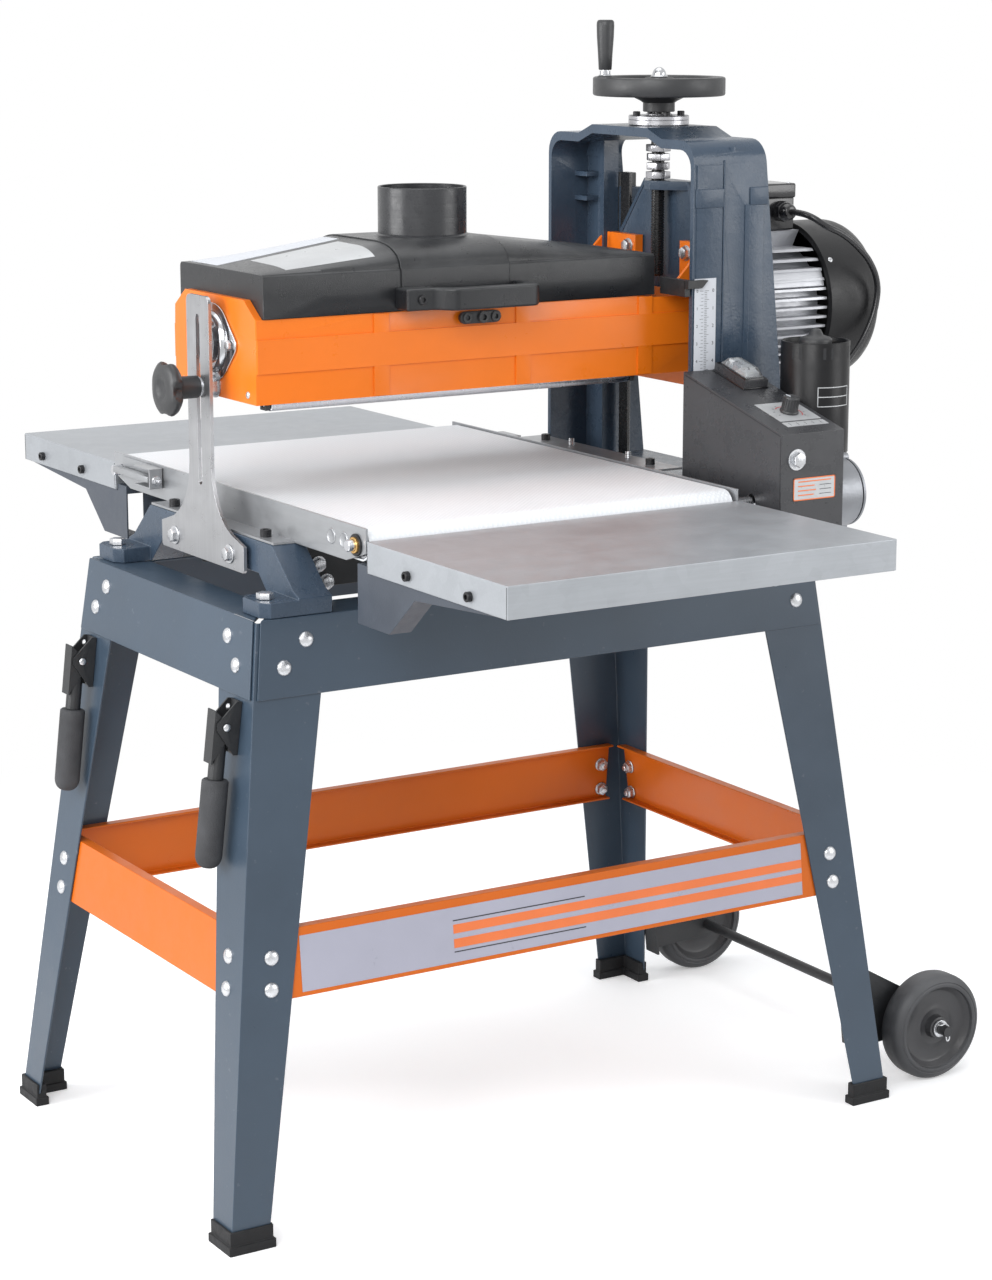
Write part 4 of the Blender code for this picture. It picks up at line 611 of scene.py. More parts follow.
def makeLiftHandles():
    lift = {"pivot": (-0.3920, 0.1835, 0.5505), "grip": 0.0144, "gripTop": 0.0580, "gripEnd": 0.1535}
    lean = atan(slope[0])
    for name, sign in (("front", -1), ("rear", 1)):
        pivot = Vector((lift["pivot"][0], sign * lift["pivot"][1], lift["pivot"][2]))
        tilt = Matrix.Translation(pivot) @ turned(lean, "Y")
        refine("lift_bracket_" + name, ironPaint, 0.0005, 2)
        arm = nodeCopy("lift_handle_" + name)
        cut = pivot + standShift + Matrix.Rotation(lean, 3, "Y") @ Vector((0.0, 0.0, -0.0575))
        down = Matrix.Rotation(lean, 3, "Y") @ Vector((0.0, 0.0, -1.0))
        bmesh.ops.bisect_plane(arm, geom=arm.verts[:] + arm.edges[:] + arm.faces[:], plane_co=cut,
                               plane_no=down, clear_outer=True)
        bmesh.ops.holes_fill(arm, edges=[e for e in arm.edges if e.is_boundary], sides=0)
        addPiece("lift_handle_%s_arm" % name, arm, ironPaint, "lift_handle_" + name,
                 ["lift_handle_" + name], shifted=False, edge=0.0004)
        top, low, r = -lift["gripTop"], -lift["gripEnd"], lift["grip"]
        profile = [(top, 0.0), (top, r - 0.0018), (top - 0.0014, r - 0.0002), (top - 0.004, r),
                   (low + 0.0130, r)]
        profile += [(low + 0.0130 - 0.0130 * sin(t), r - 0.0105 * (1.0 - cos(t)) - 0.0001)
                    for t in [pi / 2.0 * i / 7 for i in range(1, 8)]] + [(low, 0.0)]
        grip = absorb(bmesh.new(), lathe(profile, 40), tilt @ at(-0.0016, 0.0, 0.0))
        addPiece("lift_handle_%s_grip" % name, grip, foamGrip, "lift_handle_" + name)
        pins = []
        for side in (-1, 1):
            pins.append((domeHead(0.0042, 0.0018), tilt @ Vector((0.0, side * 0.0134, 0.0)),
                         (0.0, side, 0.0)))
        inward = Matrix.Rotation(lean, 3, "Y") @ Vector((-1.0, 0.0, 0.0))
        pins.append((domeHead(0.0036, 0.0022), tilt @ Vector((0.0062, 0.0, 0.0200)), inward))
        scatter("lift_bracket_%s_pins" % name, zincBolt, "base", pins)


# castings, bed and tables
def makeBase():
    refine("outboard_casting", castPaint, 0.0022, 3)
    refine("crossbeam", ironPaint, 0.0007, 2)
    refine("column", castPaint, 0.0016, 3, 38.0)
    refine("support_arm", armSteel, 0.0007, 2)
    heads = []
    for y in (-0.1835, 0.1835):
        heads.append((hexHead(0.0165, 0.0065, 0.0), (-0.3380, y, 0.6795), (0.0, 0.0, 1.0)))
    for y in (-0.170, 0.170):
        heads.append((hexHead(0.0150, 0.0060, 0.0092), (0.3250, y, 0.6790), (0.0, 0.0, 1.0)))
    for x, z in ((-0.2296, 0.6925), (-0.2200, 0.6720)):
        heads.append((hexHead(0.0130, 0.0050, 0.0092), (x, -0.1002, z), (0.0, -1.0, 0.0)))
        heads.append((hexHead(0.0130, 0.0050, 0.0092), (x, 0.1002, z), (0.0, 1.0, 0.0)))
    for y in (-0.067, 0.067):
        heads.append((hexHead(0.0130, 0.0055, 0.0105), (-0.3206, y, 0.7075), (-1.0, 0.0, 0.0)))
        heads.append((hexHead(0.0130, 0.0045, 0.0), (-0.3112, y, 0.7075), (1.0, 0.0, 0.0)))
    scatter("casting_bolts", zincBolt, "base", heads)
    bolts = []
    for y in (-0.1117, 0.1117):
        bolts.append((socketHead(0.0062, 0.0080), (-0.2990, y, 0.7316), (0.0, 0.0, 1.0)))
        bolts.append((socketHead(0.0055, 0.0070), (0.2000, y, 0.7681), (0.0, 0.0, 1.0)))
    for y in (-0.5088, -0.3894, 0.3988, 0.5182):
        bolts.append((socketHead(0.0052, 0.0052), (-0.2837, y, 0.7333), (-1.0, 0.0, 0.0)))
        bolts.append((socketHead(0.0052, 0.0052), (0.1867, y, 0.7333), (1.0, 0.0, 0.0)))
    scatter("bed_socket_screws", blackSteel, "base", bolts)
    studs = bmesh.new()
    for y in (-0.0606, 0.0606):
        thread = [(0.0, 0.0)] + [(0.0010 * i, 0.0036 if i % 2 else 0.0031)
                                 for i in range(0, 9)] + [(0.0085, 0.0)]
        absorb(studs, lathe(thread, 20), aim((0.2040, y, 0.7680), (0.0, 0.0, 1.0)))
    addPiece("bed_studs", studs, zincBolt, "base")


def makeBed():
    refine("conveyor_bed", railSheet, 0.0005, 2)
    for name in ("infeed_table", "outfeed_table"):
        refine(name, zincSheet, 0.0012, 3)
    for place in ("infeed_left", "infeed_right", "outfeed_left", "outfeed_right"):
        refine("bracket_" + place, bracketPaint, 0.0012, 3)
    webs = bmesh.new()
    for left in (-0.2580, 0.1150):
        for side in (-1, 1):
            near, far = sorted((side * 0.2812, side * 0.2852))
            absorb(webs, block((left, near, 0.6660), (left + 0.0460, far, 0.7270), 0.0006, 2))
    addPiece("table_bracket_webs", webs, bracketPaint, "base")
    seams = bmesh.new()
    table = {"left": -0.2837, "right": 0.1867, "inner": 0.3048, "outer": 0.5770, "top": 0.755,
             "drop": 0.0332}
    for x in (table["left"], table["right"]):
        for y in (table["inner"], table["outer"]):
            for sign in (-1, 1):
                side = 1.0 if x > 0 else -1.0
                place = (x + side * 0.00005, sign * y - sign * 0.0016 * (1 if y > 0.4 else -1))
                absorb(seams, block((place[0] - 0.0002, place[1] - 0.00025, table["top"] - table["drop"]
                                     + 0.0004),
                                    (place[0] + 0.0001, place[1] + 0.00025, table["top"] - 0.0016)))
    addPiece("table_corner_seams", seams, darkSeamAndShade, "base")
    # belt with rounded ends and a soft edge
    belt = {"left": -0.2785, "right": 0.1795, "reach": 0.285, "z": 0.7485, "radius": 0.0175, "thick": 0.002}
    loop = ring((-belt["reach"], belt["z"]), belt["radius"], 90, 270, 24)
    loop += ring((belt["reach"], belt["z"]), belt["radius"], -90, 90, 24)
    shell = bmesh.new()
    line = [shell.verts.new((belt["left"], y, z)) for y, z in loop]
    edges = [shell.edges.new((line[i], line[(i + 1) % len(line)])) for i in range(len(line))]
    grown = bmesh.ops.extrude_edge_only(shell, edges=edges)["geom"]
    bmesh.ops.translate(shell, vec=(belt["right"] - belt["left"], 0.0, 0.0),
                        verts=grownVerts(grown))
    bmesh.ops.recalc_face_normals(shell, faces=shell.faces)
    bmesh.ops.solidify(shell, geom=shell.faces[:], thickness=belt["thick"])
    addPiece("feed_belt", shell, beltCloth, "base", ["conveyor_belt"], edge=0.0004)
    for name, end in (("drive_roller", 0.325), ("idler_roller", 0.200)):
        sign = -1 if name == "drive_roller" else 1
        profile = [(-0.2960, 0.0), (-0.2960, 0.0052), (-0.2952, 0.0060), (-0.2775, 0.0060),
                   (-0.2775, 0.0142),
                   (-0.2765, 0.0152), (0.1775, 0.0152), (0.1785, 0.0142), (0.1785, 0.0060),
                   (end - 0.0008, 0.0060), (end, 0.0052), (end, 0.0)]
        addPiece(name + "_shape", lathed(profile, (0.0, sign * 0.285, 0.7485), (1.0, 0.0, 0.0), 40),
                 rollerSteel, name, [name])
    # pressed dimples, bushes and the take-up brackets at the belt's corners
    dimples, bushes, plates, holders, screws = bmesh.new(), bmesh.new(), bmesh.new(), bmesh.new(), []
    for x, side in ((-0.2841, -1.0), (0.1851, 1.0)):
        for y in (-0.2312, -0.2580):
            rim = [(0.0, 0.0), (0.0, 0.0086), (0.0007, 0.0082), (0.0009, 0.0074), (0.0004, 0.0064),
                   (0.0004, 0.0)]
            absorb(dimples, lathe(rim, 32), aim((x, y, 0.7496), (side, 0.0, 0.0)))
        absorb(plates, lathe([(0.0, 0.0065), (0.0, 0.0118), (0.0018, 0.0118), (0.0024, 0.0112),
                              (0.0024, 0.0065),
                              (0.0, 0.0065)], 32), aim((x, -0.285, 0.7485), (side, 0.0, 0.0)))
        absorb(bushes, lathe([(0.0, 0.0063), (0.0, 0.0086), (0.0042, 0.0086), (0.0046, 0.0082),
                              (0.0046, 0.0063),
                              (0.0, 0.0063)], 28), aim((x, -0.285, 0.7485), (side, 0.0, 0.0)))
        far, near = 0.2760, 0.1720
        out = x + side * 0.0175
        low, high = sorted((x, out))
        absorb(holders, block((low, near, 0.7420), (high, near + 0.0020, 0.7655), 0.0004, 1))
        low, high = sorted((x + side * 0.0001, x + side * 0.0018))
        absorb(holders, block((low, near, 0.7420), (high, far, 0.7655), 0.0004, 1))
        low, high = sorted((x + side * 0.0005, out))
        absorb(holders, block((low, near + 0.0010, 0.7638), (high, near + 0.0420, 0.7655), 0.0004, 1))
        absorb(holders, block((low, near + 0.0010, 0.7420), (high, near + 0.0420, 0.7437), 0.0004, 1))
        low, high = sorted((x + side * 0.0045, x + side * 0.0135))
        absorb(holders, block((low, near + 0.0140, 0.7475), (high, far + 0.0050, 0.7545), 0.0008, 2))
        middle = x + side * 0.0090
        screws.append((hexHead(0.0080, 0.0040, 0.0055, 0.0060), (middle, near, 0.7515), (0.0, -1.0, 0.0)))
    addPiece("rail_dimples", dimples, railSheet, "base")
    addPiece("roller_bushes", bushes, brassMetal, "base")
    addPiece("roller_end_plates", plates, blackSteel, "base")
    addPiece("take_up_brackets", holders, railSheet, "base")
    scatter("take_up_screws", zincBolt, "base", screws)


print("stand and bed ready to shape")


# feed drive and controls
box = {"left": 0.2165, "right": 0.302, "back": -0.1525, "front": -0.340, "backTop": 0.8785,
       "frontTop": 0.8295, "switch": (0.272, -0.186), "knob": (0.2675, -0.284)}
tilt = atan((box["backTop"] - box["frontTop"]) / (box["back"] - box["front"]))


def onPanel(x, y, lift=0.0):  # stands things on the sloped top of the control box
    z = box["backTop"] + (y - box["back"]) * sin(tilt) / cos(tilt)
    place = Vector((x, y - lift * sin(tilt), z + lift * cos(tilt)))
    return Matrix.Translation(place) @ turned(tilt, "X")


def makeFeedDrive():
    refine("feed_gearbox", castSilver, 0.0012, 3)
    motor = {"centre": (0.3430, -0.232), "radius": 0.0393}
    x, y = motor["centre"]
    r = motor["radius"]
    profile = [(0.788, 0.0), (0.788, r - 0.0008), (0.7888, r), (0.9142, r), (0.9150, r - 0.0006),
               (0.9150, r - 0.0024), (0.9142, r - 0.0030), (0.9050, r - 0.0030), (0.9044, 0.0200),
               (0.9044, 0.0)]
    addPiece("feed_motor_shell", lathed(profile, (x, y, 0.0), steps=80), feedBlack, "base",
             ["feed_motor"], 40)
    cap = [(0.9044, 0.0), (0.9044, 0.0184), (0.9150, 0.0188), (0.9172, 0.0180), (0.9186, 0.0160),
           (0.9196, 0.0125), (0.9212, 0.0085), (0.9245, 0.0070), (0.9268, 0.0058), (0.9280, 0.0036),
           (0.9280, 0.0)]
    addPiece("feed_motor_cap", lathed(cap, (x, y, 0.0), steps=48), knobPlastic, "base",
             sharp=50)
    slotShade = bmesh.new()
    for middle in (-160, -105, -50, 10, 70, 130):  # dark plates in pairs below the rim: painted shade standing in for the insides of the openings
        for turn in (middle - 7, middle + 7):
            slot = block((-0.0017, r - 0.0006, -0.0066), (0.0017, r + 0.00012, 0.0066), 0.0002, 1)
            absorb(slotShade, slot, at(x, y, 0.9035) @ turned(radians(turn - 90), "Z"))
    addPiece("feed_motor_slot_shade", slotShade, darkSeamAndShade, "base")
    # a ruled plate with no words on it, drawn as three rows of short rules between two upright bars
    rules = bmesh.new()
    count = 12
    for z in (0.8655, 0.8548, 0.8440):
        for i in range(count):
            turn = radians(-122.0 + 62.0 * (i + 0.5) / count)
            rule = block((-0.0020, r - 0.0002, -0.0005), (0.0020, r + 0.00025, 0.0005))
            absorb(rules, rule, at(x, y, z) @ turned(turn - pi / 2.0, "Z"))
    for turn in (-122.0, -60.0):
        rule = block((-0.0005, r - 0.0002, -0.0110), (0.0005, r + 0.00025, 0.0110))
        absorb(rules, rule, at(x, y, 0.85475) @ turned(radians(turn) - pi / 2.0, "Z"))
    addPiece("feed_motor_rules", rules, labelSilver, "base")
    cover = lathed([(0.3460, 0.0), (0.3460, 0.0384), (0.3486, 0.0384), (0.3494, 0.0376), (0.3494, 0.0340),
                    (0.3486, 0.0330), (0.3482, 0.0180), (0.3492, 0.0165), (0.3492, 0.0)],
                   (0.0, -0.285, 0.7485), (1.0, 0.0, 0.0), 72)
    for turn in (88, 272):  # cast lugs for the cover screws
        lug = lathe([(0.3150, 0.0), (0.3150, 0.0052), (0.3500, 0.0052), (0.3506, 0.0046), (0.3506, 0.0)], 24)
        place = (0.0, -0.285 + 0.0375 * cos(radians(turn)), 0.7485 + 0.0390 * sin(radians(turn)))
        absorb(cover, lug, aim(place, (1.0, 0.0, 0.0)))
    addPiece("gearbox_cover", cover, castSilver, "base")
    bolts = []
    for turn in (-80, 0, 200, 250):
        place = (0.3476, -0.285 + 0.030 * cos(radians(turn)), 0.7485 + 0.030 * sin(radians(turn)))
        bolts.append((socketHead(0.0036, 0.0040), place, (1.0, 0.0, 0.0)))
    scatter("gearbox_screws", zincBolt, "base", bolts)


def makeControls():
    refine("control_box", boxPaint, 0.0011, 3)
    # dark joint lines where the folded cover meets the side plates
    seams = bmesh.new()
    length = (box["back"] - box["front"]) / cos(tilt) - 0.006
    for x in (box["left"] + 0.0001, box["right"] - 0.0001):
        seam = block((-0.0003, -length / 2, -0.0007), (0.0003, length / 2, 0.0003))
        middle = (box["back"] + box["front"]) / 2.0
        absorb(seams, seam, at(x, 0.0, -0.0024) @ onPanel(0.0, middle))
        absorb(seams, block((x - 0.0003, box["front"] + 0.0020, 0.703),
                            (x + 0.0003, box["front"] + 0.0028, 0.8255)))
    addPiece("control_box_seams", seams, darkSeamAndShade, "base")
    x, y = box["switch"]
    stand = onPanel(x, y)
    flange = block((-0.0178, -0.0312, 0.0), (0.0178, 0.0312, 0.0022), 0.0009, 2)
    absorb(flange, block((-0.0150, -0.0290, 0.0015), (-0.0092, 0.0290, 0.0118), 0.0012, 2))
    absorb(flange, block((0.0092, -0.0290, 0.0015), (0.0150, 0.0290, 0.0118), 0.0012, 2))
    absorb(flange, block((-0.0150, -0.0290, 0.0015), (0.0150, -0.0222, 0.0118), 0.0012, 2))
    absorb(flange, block((-0.0150, 0.0222, 0.0015), (0.0150, 0.0290, 0.0118), 0.0012, 2))
    addPiece("switch_bezel", absorb(bmesh.new(), flange, stand), glossPlastic, "base")
    # clear splash cover with sloped ends
    cover = block((-0.0128, -0.0262, 0.0112), (0.0128, 0.0262, 0.0205))
    for vertex in cover.verts:
        if vertex.co.z > 0.015:
            vertex.co.x *= 0.72
            vertex.co.y *= 0.66
    soften(cover, cover.edges[:], 0.0016, 3)
    addPiece("switch_cover", absorb(bmesh.new(), cover, stand), clearCover, "base")
    refine("switch_rocker", rockerWhite, 0.0006, 2)
    marks = bmesh.new()
    for y0, wide in ((0.0110, 0.0052), (-0.0110, 0.0016)):
        absorb(marks, block((-wide / 2, y0 - 0.0008, 0.0), (wide / 2, y0 + 0.0008, 0.0004)))
    pivot = onPanel(x, y, 0.0065)
    addPiece("switch_marks", absorb(bmesh.new(), marks, pivot @ turned(radians(-7.0), "X")
                                    @ at(0.0, 0.0, 0.0058)), labelInk, "switch_rocker")
    # ribbed speed knob with a pale pointer
    knob = onPanel(*box["knob"], 0.0006)
    profile = [(0.0, 0.0), (0.0, 0.0105), (0.0012, 0.0108), (0.0030, 0.0100), (0.0034, 0.0092),
               (0.0168, 0.0084), (0.0181, 0.0078), (0.0185, 0.0068), (0.0178, 0.0060), (0.0178, 0.0)]
    body = lathe(profile, 48)
    for i in range(20):
        rib = block((0.0078, -0.0006, 0.0036), (0.0094, 0.0006, 0.0172), 0.0003, 1)
        absorb(body, rib, turned(radians(18.0 * i), "Z"))
    addPiece("speed_knob_shape", absorb(bmesh.new(), body, knob), knobPlastic, "speed_knob",
             ["speed_knob"])
    pointer = block((-0.0007, 0.0015, 0.0177), (0.0007, 0.0075, 0.01855))
    absorb(pointer, block((-0.0007, 0.0088, 0.0040), (0.0007, 0.0096, 0.0170)))
    aside = knob @ turned(radians(25.0), "Z")
    addPiece("speed_knob_pointer", absorb(bmesh.new(), pointer, aside), labelWhite, "speed_knob")
    # dial plate with an arc and ticks, and a small strip below it
    plate = onPanel(box["knob"][0], box["knob"][1] + 0.0025)
    sheet = block((-0.0280, -0.0255, 0.0), (0.0280, 0.0255, 0.0003))
    absorb(sheet, block((-0.0290, -0.0410, 0.0), (0.0275, -0.0288, 0.0003)))
    addPiece("dial_plate", absorb(bmesh.new(), sheet, plate), labelSilver, "base")
    arc, ticks = bmesh.new(), bmesh.new()
    for i in range(27):
        turn = radians(-130.0 + 10.0 * i)
        mark = block((-0.0014, 0.0158 - 0.0009, 0.0003), (0.0014, 0.0158, 0.0005))
        if i < 18:
            absorb(arc, mark, plate @ at(0.0, -0.0025, 0.0) @ turned(turn, "Z"))
        if i % 3 == 0:
            tick = block((-0.0003, 0.0170, 0.0003), (0.0003, 0.0194, 0.0005))
            absorb(ticks, tick, plate @ at(0.0, -0.0025, 0.0) @ turned(turn, "Z"))
    for i in range(5):
        tick = block((-0.0220 + 0.0105 * i, -0.0380, 0.0003), (-0.0216 + 0.0105 * i, -0.0318, 0.0005))
        absorb(ticks, tick, plate)
    addPiece("dial_arc", arc, labelRed, "base")
    addPiece("dial_ticks", ticks, labelInk, "base")
    # bolt and a small bordered plate on the front
    scatter("control_box_bolt", zincBolt, "base",
            [(hexHead(0.0145, 0.0060, 0.0118), (0.2370, box["front"] - 0.0001, 0.8010), (0.0, -1.0, 0.0))])
    y = box["front"]
    addPiece("front_plate", block((0.2330, y - 0.0004, 0.7550), (0.2905, y + 0.0002, 0.7800)), labelSilver,
             "base")
    border, rows = bmesh.new(), bmesh.new()
    for low, high in (((0.2330, 0.7550), (0.2905, 0.7562)), ((0.2330, 0.7788), (0.2905, 0.7800)),
                      ((0.2330, 0.7550), (0.2342, 0.7800)), ((0.2893, 0.7550), (0.2905, 0.7800))):
        absorb(border, block((low[0], y - 0.0006, low[1]), (high[0], y, high[1])))
    for i, (start, end) in enumerate(((0.2395, 0.2845), (0.2395, 0.2620), (0.2395, 0.2640),
                                      (0.2395, 0.2610))):
        z = 0.7758 - 0.0050 * i
        absorb(border, block((start, y - 0.0006, z - 0.0006), (end, y, z + 0.0006)))
        if i:
            absorb(rows, block((0.2690, y - 0.0006, z - 0.0003), (0.2850, y, z + 0.0003)))
    addPiece("front_plate_border", border, labelOrange, "base")
    addPiece("front_plate_rows", rows, labelInk, "base")


# head
shaftHeight = 0.932  # the drum and the main motor turn about it


def makeHead():
    housing = nodeCopy("drum_housing")
    left = -0.300 + standShift.x
    upright = [e for e in housing.edges if all(abs(v.co.x - left) < 0.0006
                                               and abs(abs(v.co.y) - 0.100) < 0.004
                                               for v in e.verts)
               and abs(e.verts[0].co.z - e.verts[1].co.z) > 0.01]
    bmesh.ops.bevel(housing, geom=upright, offset=0.0095, segments=1, profile=0.5, material=-1,
                    affect="EDGES",
                    clamp_overlap=True)
    addPiece("drum_housing_shape", housing, orangePaint, "head", ["drum_housing"],
             shifted=False,
             edge=0.0013, segments=3)
    gussets = bmesh.new()
    for low, high in ((-0.1060, -0.1020), (0.1020, 0.1060)):
        absorb(gussets, outline([(0.2740, 1.0130), (0.2740, 0.9610), (0.2260, 0.9610), (0.2300, 0.9690)],
                                "y", low,
                                high - low, 0.0006, 1))
    addPiece("lug_gussets", gussets, orangePaint, "head")
    refine("carriage", castPaint, 0.0014, 3)
    refine("main_motor", finSilver, 0.0006, 2)
    for name in ("front", "rear"):
        refine("press_carrier_" + name, ironPaint, 0.0005, 2)
        sign = -1 if name == "front" else 1
        profile = [(-0.285, 0.0), (-0.285, 0.0030), (-0.279, 0.0030), (-0.279, 0.0072), (-0.2782, 0.0080),
                   (0.1832, 0.0080), (0.1840, 0.0072), (0.1840, 0.0030), (0.1900, 0.0030), (0.1900, 0.0)]
        addPiece("press_roller_%s_shape" % name, lathed(profile, (0.0, sign * 0.0845, 0.870),
                                                        (1.0, 0.0, 0.0), 36),
                 rollerSteel, "press_roller_" + name, ["press_roller_" + name])
    drum = {"radius": 0.0655, "left": -0.2525, "right": 0.1525, "deep": 0.190}
    rim = drum["radius"] - 0.006
    profile = [(-0.3035, 0.0), (-0.3035, 0.0112), (-0.3025, 0.0122), (drum["left"] + drum["deep"], 0.0122),
               (drum["left"] + drum["deep"], rim), (drum["left"], rim),
               (drum["left"], drum["radius"] - 0.0009),
               (drum["right"], drum["radius"] - 0.0009), (drum["right"], rim),
               (drum["right"] - drum["deep"], rim),
               (drum["right"] - drum["deep"], 0.0122), (0.3739, 0.0122), (0.3739, 0.0)]
    addPiece("drum_core", lathed(profile, (0.0, 0.0, shaftHeight), (1.0, 0.0, 0.0), 72), drumMetal, "drum",
             ["drum"])
    # abrasive strip wound as a helix, with a fine gap between turns
    strip, turns, steps, width = bmesh.new(), 5.2, 64, 0.0760
    span = drum["right"] - drum["left"] - width
    line = [strip.verts.new((drum["left"], drum["radius"] - 0.0008, 0.0)),
            strip.verts.new((drum["left"] + width - 0.0006, drum["radius"] - 0.0008, 0.0))]
    total = int(turns * steps)
    bmesh.ops.spin(strip, geom=line + [strip.edges.new(line)], cent=(0.0, 0.0, 0.0), axis=(1.0, 0.0, 0.0),
                   dvec=(span / total, 0.0, 0.0), angle=2.0 * pi * turns, steps=total)
    bmesh.ops.recalc_face_normals(strip, faces=strip.faces)
    bmesh.ops.solidify(strip, geom=strip.faces[:], thickness=-0.0007)
    bmesh.ops.translate(strip, vec=(0.0, 0.0, shaftHeight), verts=strip.verts)
    addPiece("drum_strip", strip, paperGrit, "drum")
    # pressed bearing flange at the free end, with its bolts
    plate = {"big": 0.0425, "end": 0.0115, "reach": 0.0435, "thick": 0.0026}
    swing = degrees(acos((plate["big"] - plate["end"]) / plate["reach"]))
    pad = (ring((plate["reach"], 0.0), plate["end"], -swing, swing, 10)
           + ring((0.0, 0.0), plate["big"], swing, 180 - swing, 28)
           + ring((-plate["reach"], 0.0), plate["end"], 180 - swing, 180 + swing, 10)
           + ring((0.0, 0.0), plate["big"], 180 + swing, 360 - swing, 28))
    flange = outline([(y, 0.930 + z) for y, z in pad], "x", -0.3002, -plate["thick"], 0.0007, 2)
    pressed = [(0.0010, 0.0120), (0.0078, 0.0122), (0.0086, 0.0130), (0.0086, 0.0170), (0.0078, 0.0190),
               (0.0050, 0.0212), (0.0044, 0.0226), (0.0050, 0.0242), (0.0082, 0.0268), (0.0088, 0.0290),
               (0.0082, 0.0310), (0.0060, 0.0326), (0.0034, 0.0336), (0.0028, 0.0352), (0.0010, 0.0356)]
    absorb(flange, lathe(pressed, 96), aim((-0.3002, 0.0, 0.930), (-1.0, 0.0, 0.0)))
    addPiece("end_bearing_flange", flange, chromeSteel, "head", sharp=45)
    heads = []
    for y in (-0.0425, 0.0425):
        heads.append((hexHead(0.0100, 0.0042, 0.0), (-0.3024, y, 0.930), (-1.0, 0.0, 0.0)))
    for y in (-0.078, 0.078):
        heads.append((domeHead(0.0040, 0.0018), (-0.3001, y, 0.8800), (-1.0, 0.0, 0.0)))
    for y in (-0.060, 0.060):
        heads.append((hexHead(0.0130, 0.0060, 0.0090), (0.2840, y, 1.0030), (-1.0, 0.0, 0.0)))
        heads.append((hexHead(0.0130, 0.0060, 0.0090), (0.2840, y * 1.30, 0.9880), (-1.0, 0.0, 0.0)))
    scatter("head_bolts", zincBolt, "head", heads)
    # wide smooth band along the motor's side, where the fins stop
    boss = bmesh.new()
    for sign in (-1, 1):
        pad = ring((0.0, 0.0), 0.0872, 17, 32, 6) + ring((0.0, 0.0), 0.0790, 32, 17, 6)
        absorb(boss, outline([(sign * y, shaftHeight + z) for y, z in pad], "x", 0.3850, 0.0845, 0.0006, 1))
    addPiece("motor_boss", boss, finSilver, "head")


def makeCowl():
    cowl = {"left": 0.4708, "right": 0.555, "radius": 0.0965, "motor": 0.0885}
    r, left, right = cowl["radius"], cowl["left"], cowl["right"]
    profile = [(left, cowl["motor"] + 0.0015), (left, r - 0.0012), (left + 0.0010, r), (right - 0.030, r)]
    profile += [(right - 0.030 + 0.030 * sin(t), r - 0.024 * (1.0 - cos(t))) for t in
                [pi / 2.0 * i / 9 for i in range(1, 10)]]
    edge = r - 0.024
    while edge > 0.018:  # ring grooves of the air grille
        profile += [(right, edge - 0.0035), (right - 0.0022, edge - 0.0039), (right - 0.0022, edge - 0.0066),
                    (right, edge - 0.0070)]
        edge -= 0.0070
    profile += [(right, 0.0), (right - 0.0035, 0.0), (right - 0.0035, r - 0.026),
                (right - 0.014, r - 0.0085),
                (right - 0.031, r - 0.0025), (left + 0.0025, r - 0.0025),
                (left + 0.0025, cowl["motor"] + 0.0015),
                (left, cowl["motor"] + 0.0015)]
    addPiece("fan_cowl", lathed(profile, (0.0, 0.0, shaftHeight), (1.0, 0.0, 0.0), 96), cowlPlastic, "head",
             ["fan_cover"], 40)
    bars = bmesh.new()
    for i in range(8):
        bar = block((-0.0020, 0.0140, -0.0022), (0.0020, 0.0700, 0.0001), 0.0004, 1)
        absorb(bars, bar, aim((right, 0.0, shaftHeight), (1.0, 0.0, 0.0)) @ turned(radians(45.0 * i), "Z"))
    addPiece("fan_cowl_bars", bars, cowlPlastic, "head")
    heads = []
    for turn in (35, 145, 215, 325):
        outward = Vector((0.0, cos(radians(turn)), sin(radians(turn))))
        heads.append((domeHead(0.0034, 0.0016), Vector((left + 0.010, 0.0, shaftHeight))
                      + outward * (r - 0.0002), outward))
    scatter("fan_cowl_screws", zincBolt, "head", heads)


cable = {"gland": Vector((0.438, -0.0585, 1.0440)), "radius": 0.0038,
         "route": [(0.438, -0.0560, 1.0440), (0.438, -0.0720, 1.0440), (0.4420, -0.0900, 1.0405),
                   (0.4560, -0.1010, 1.0300), (0.4780, -0.1050, 1.0195), (0.5040, -0.1055, 1.0010),
                   (0.5210, -0.1055, 0.9830), (0.5312, -0.1055, 0.9610), (0.5318, -0.1055, 0.9400),
                   (0.5200, -0.1055, 0.9060), (0.4920, -0.1060, 0.8690), (0.4520, -0.1130, 0.8420),
                   (0.4080, -0.1300, 0.8180), (0.3680, -0.1560, 0.7990), (0.3340, -0.1740, 0.7900),
                   (0.3120, -0.1740, 0.7900)]}


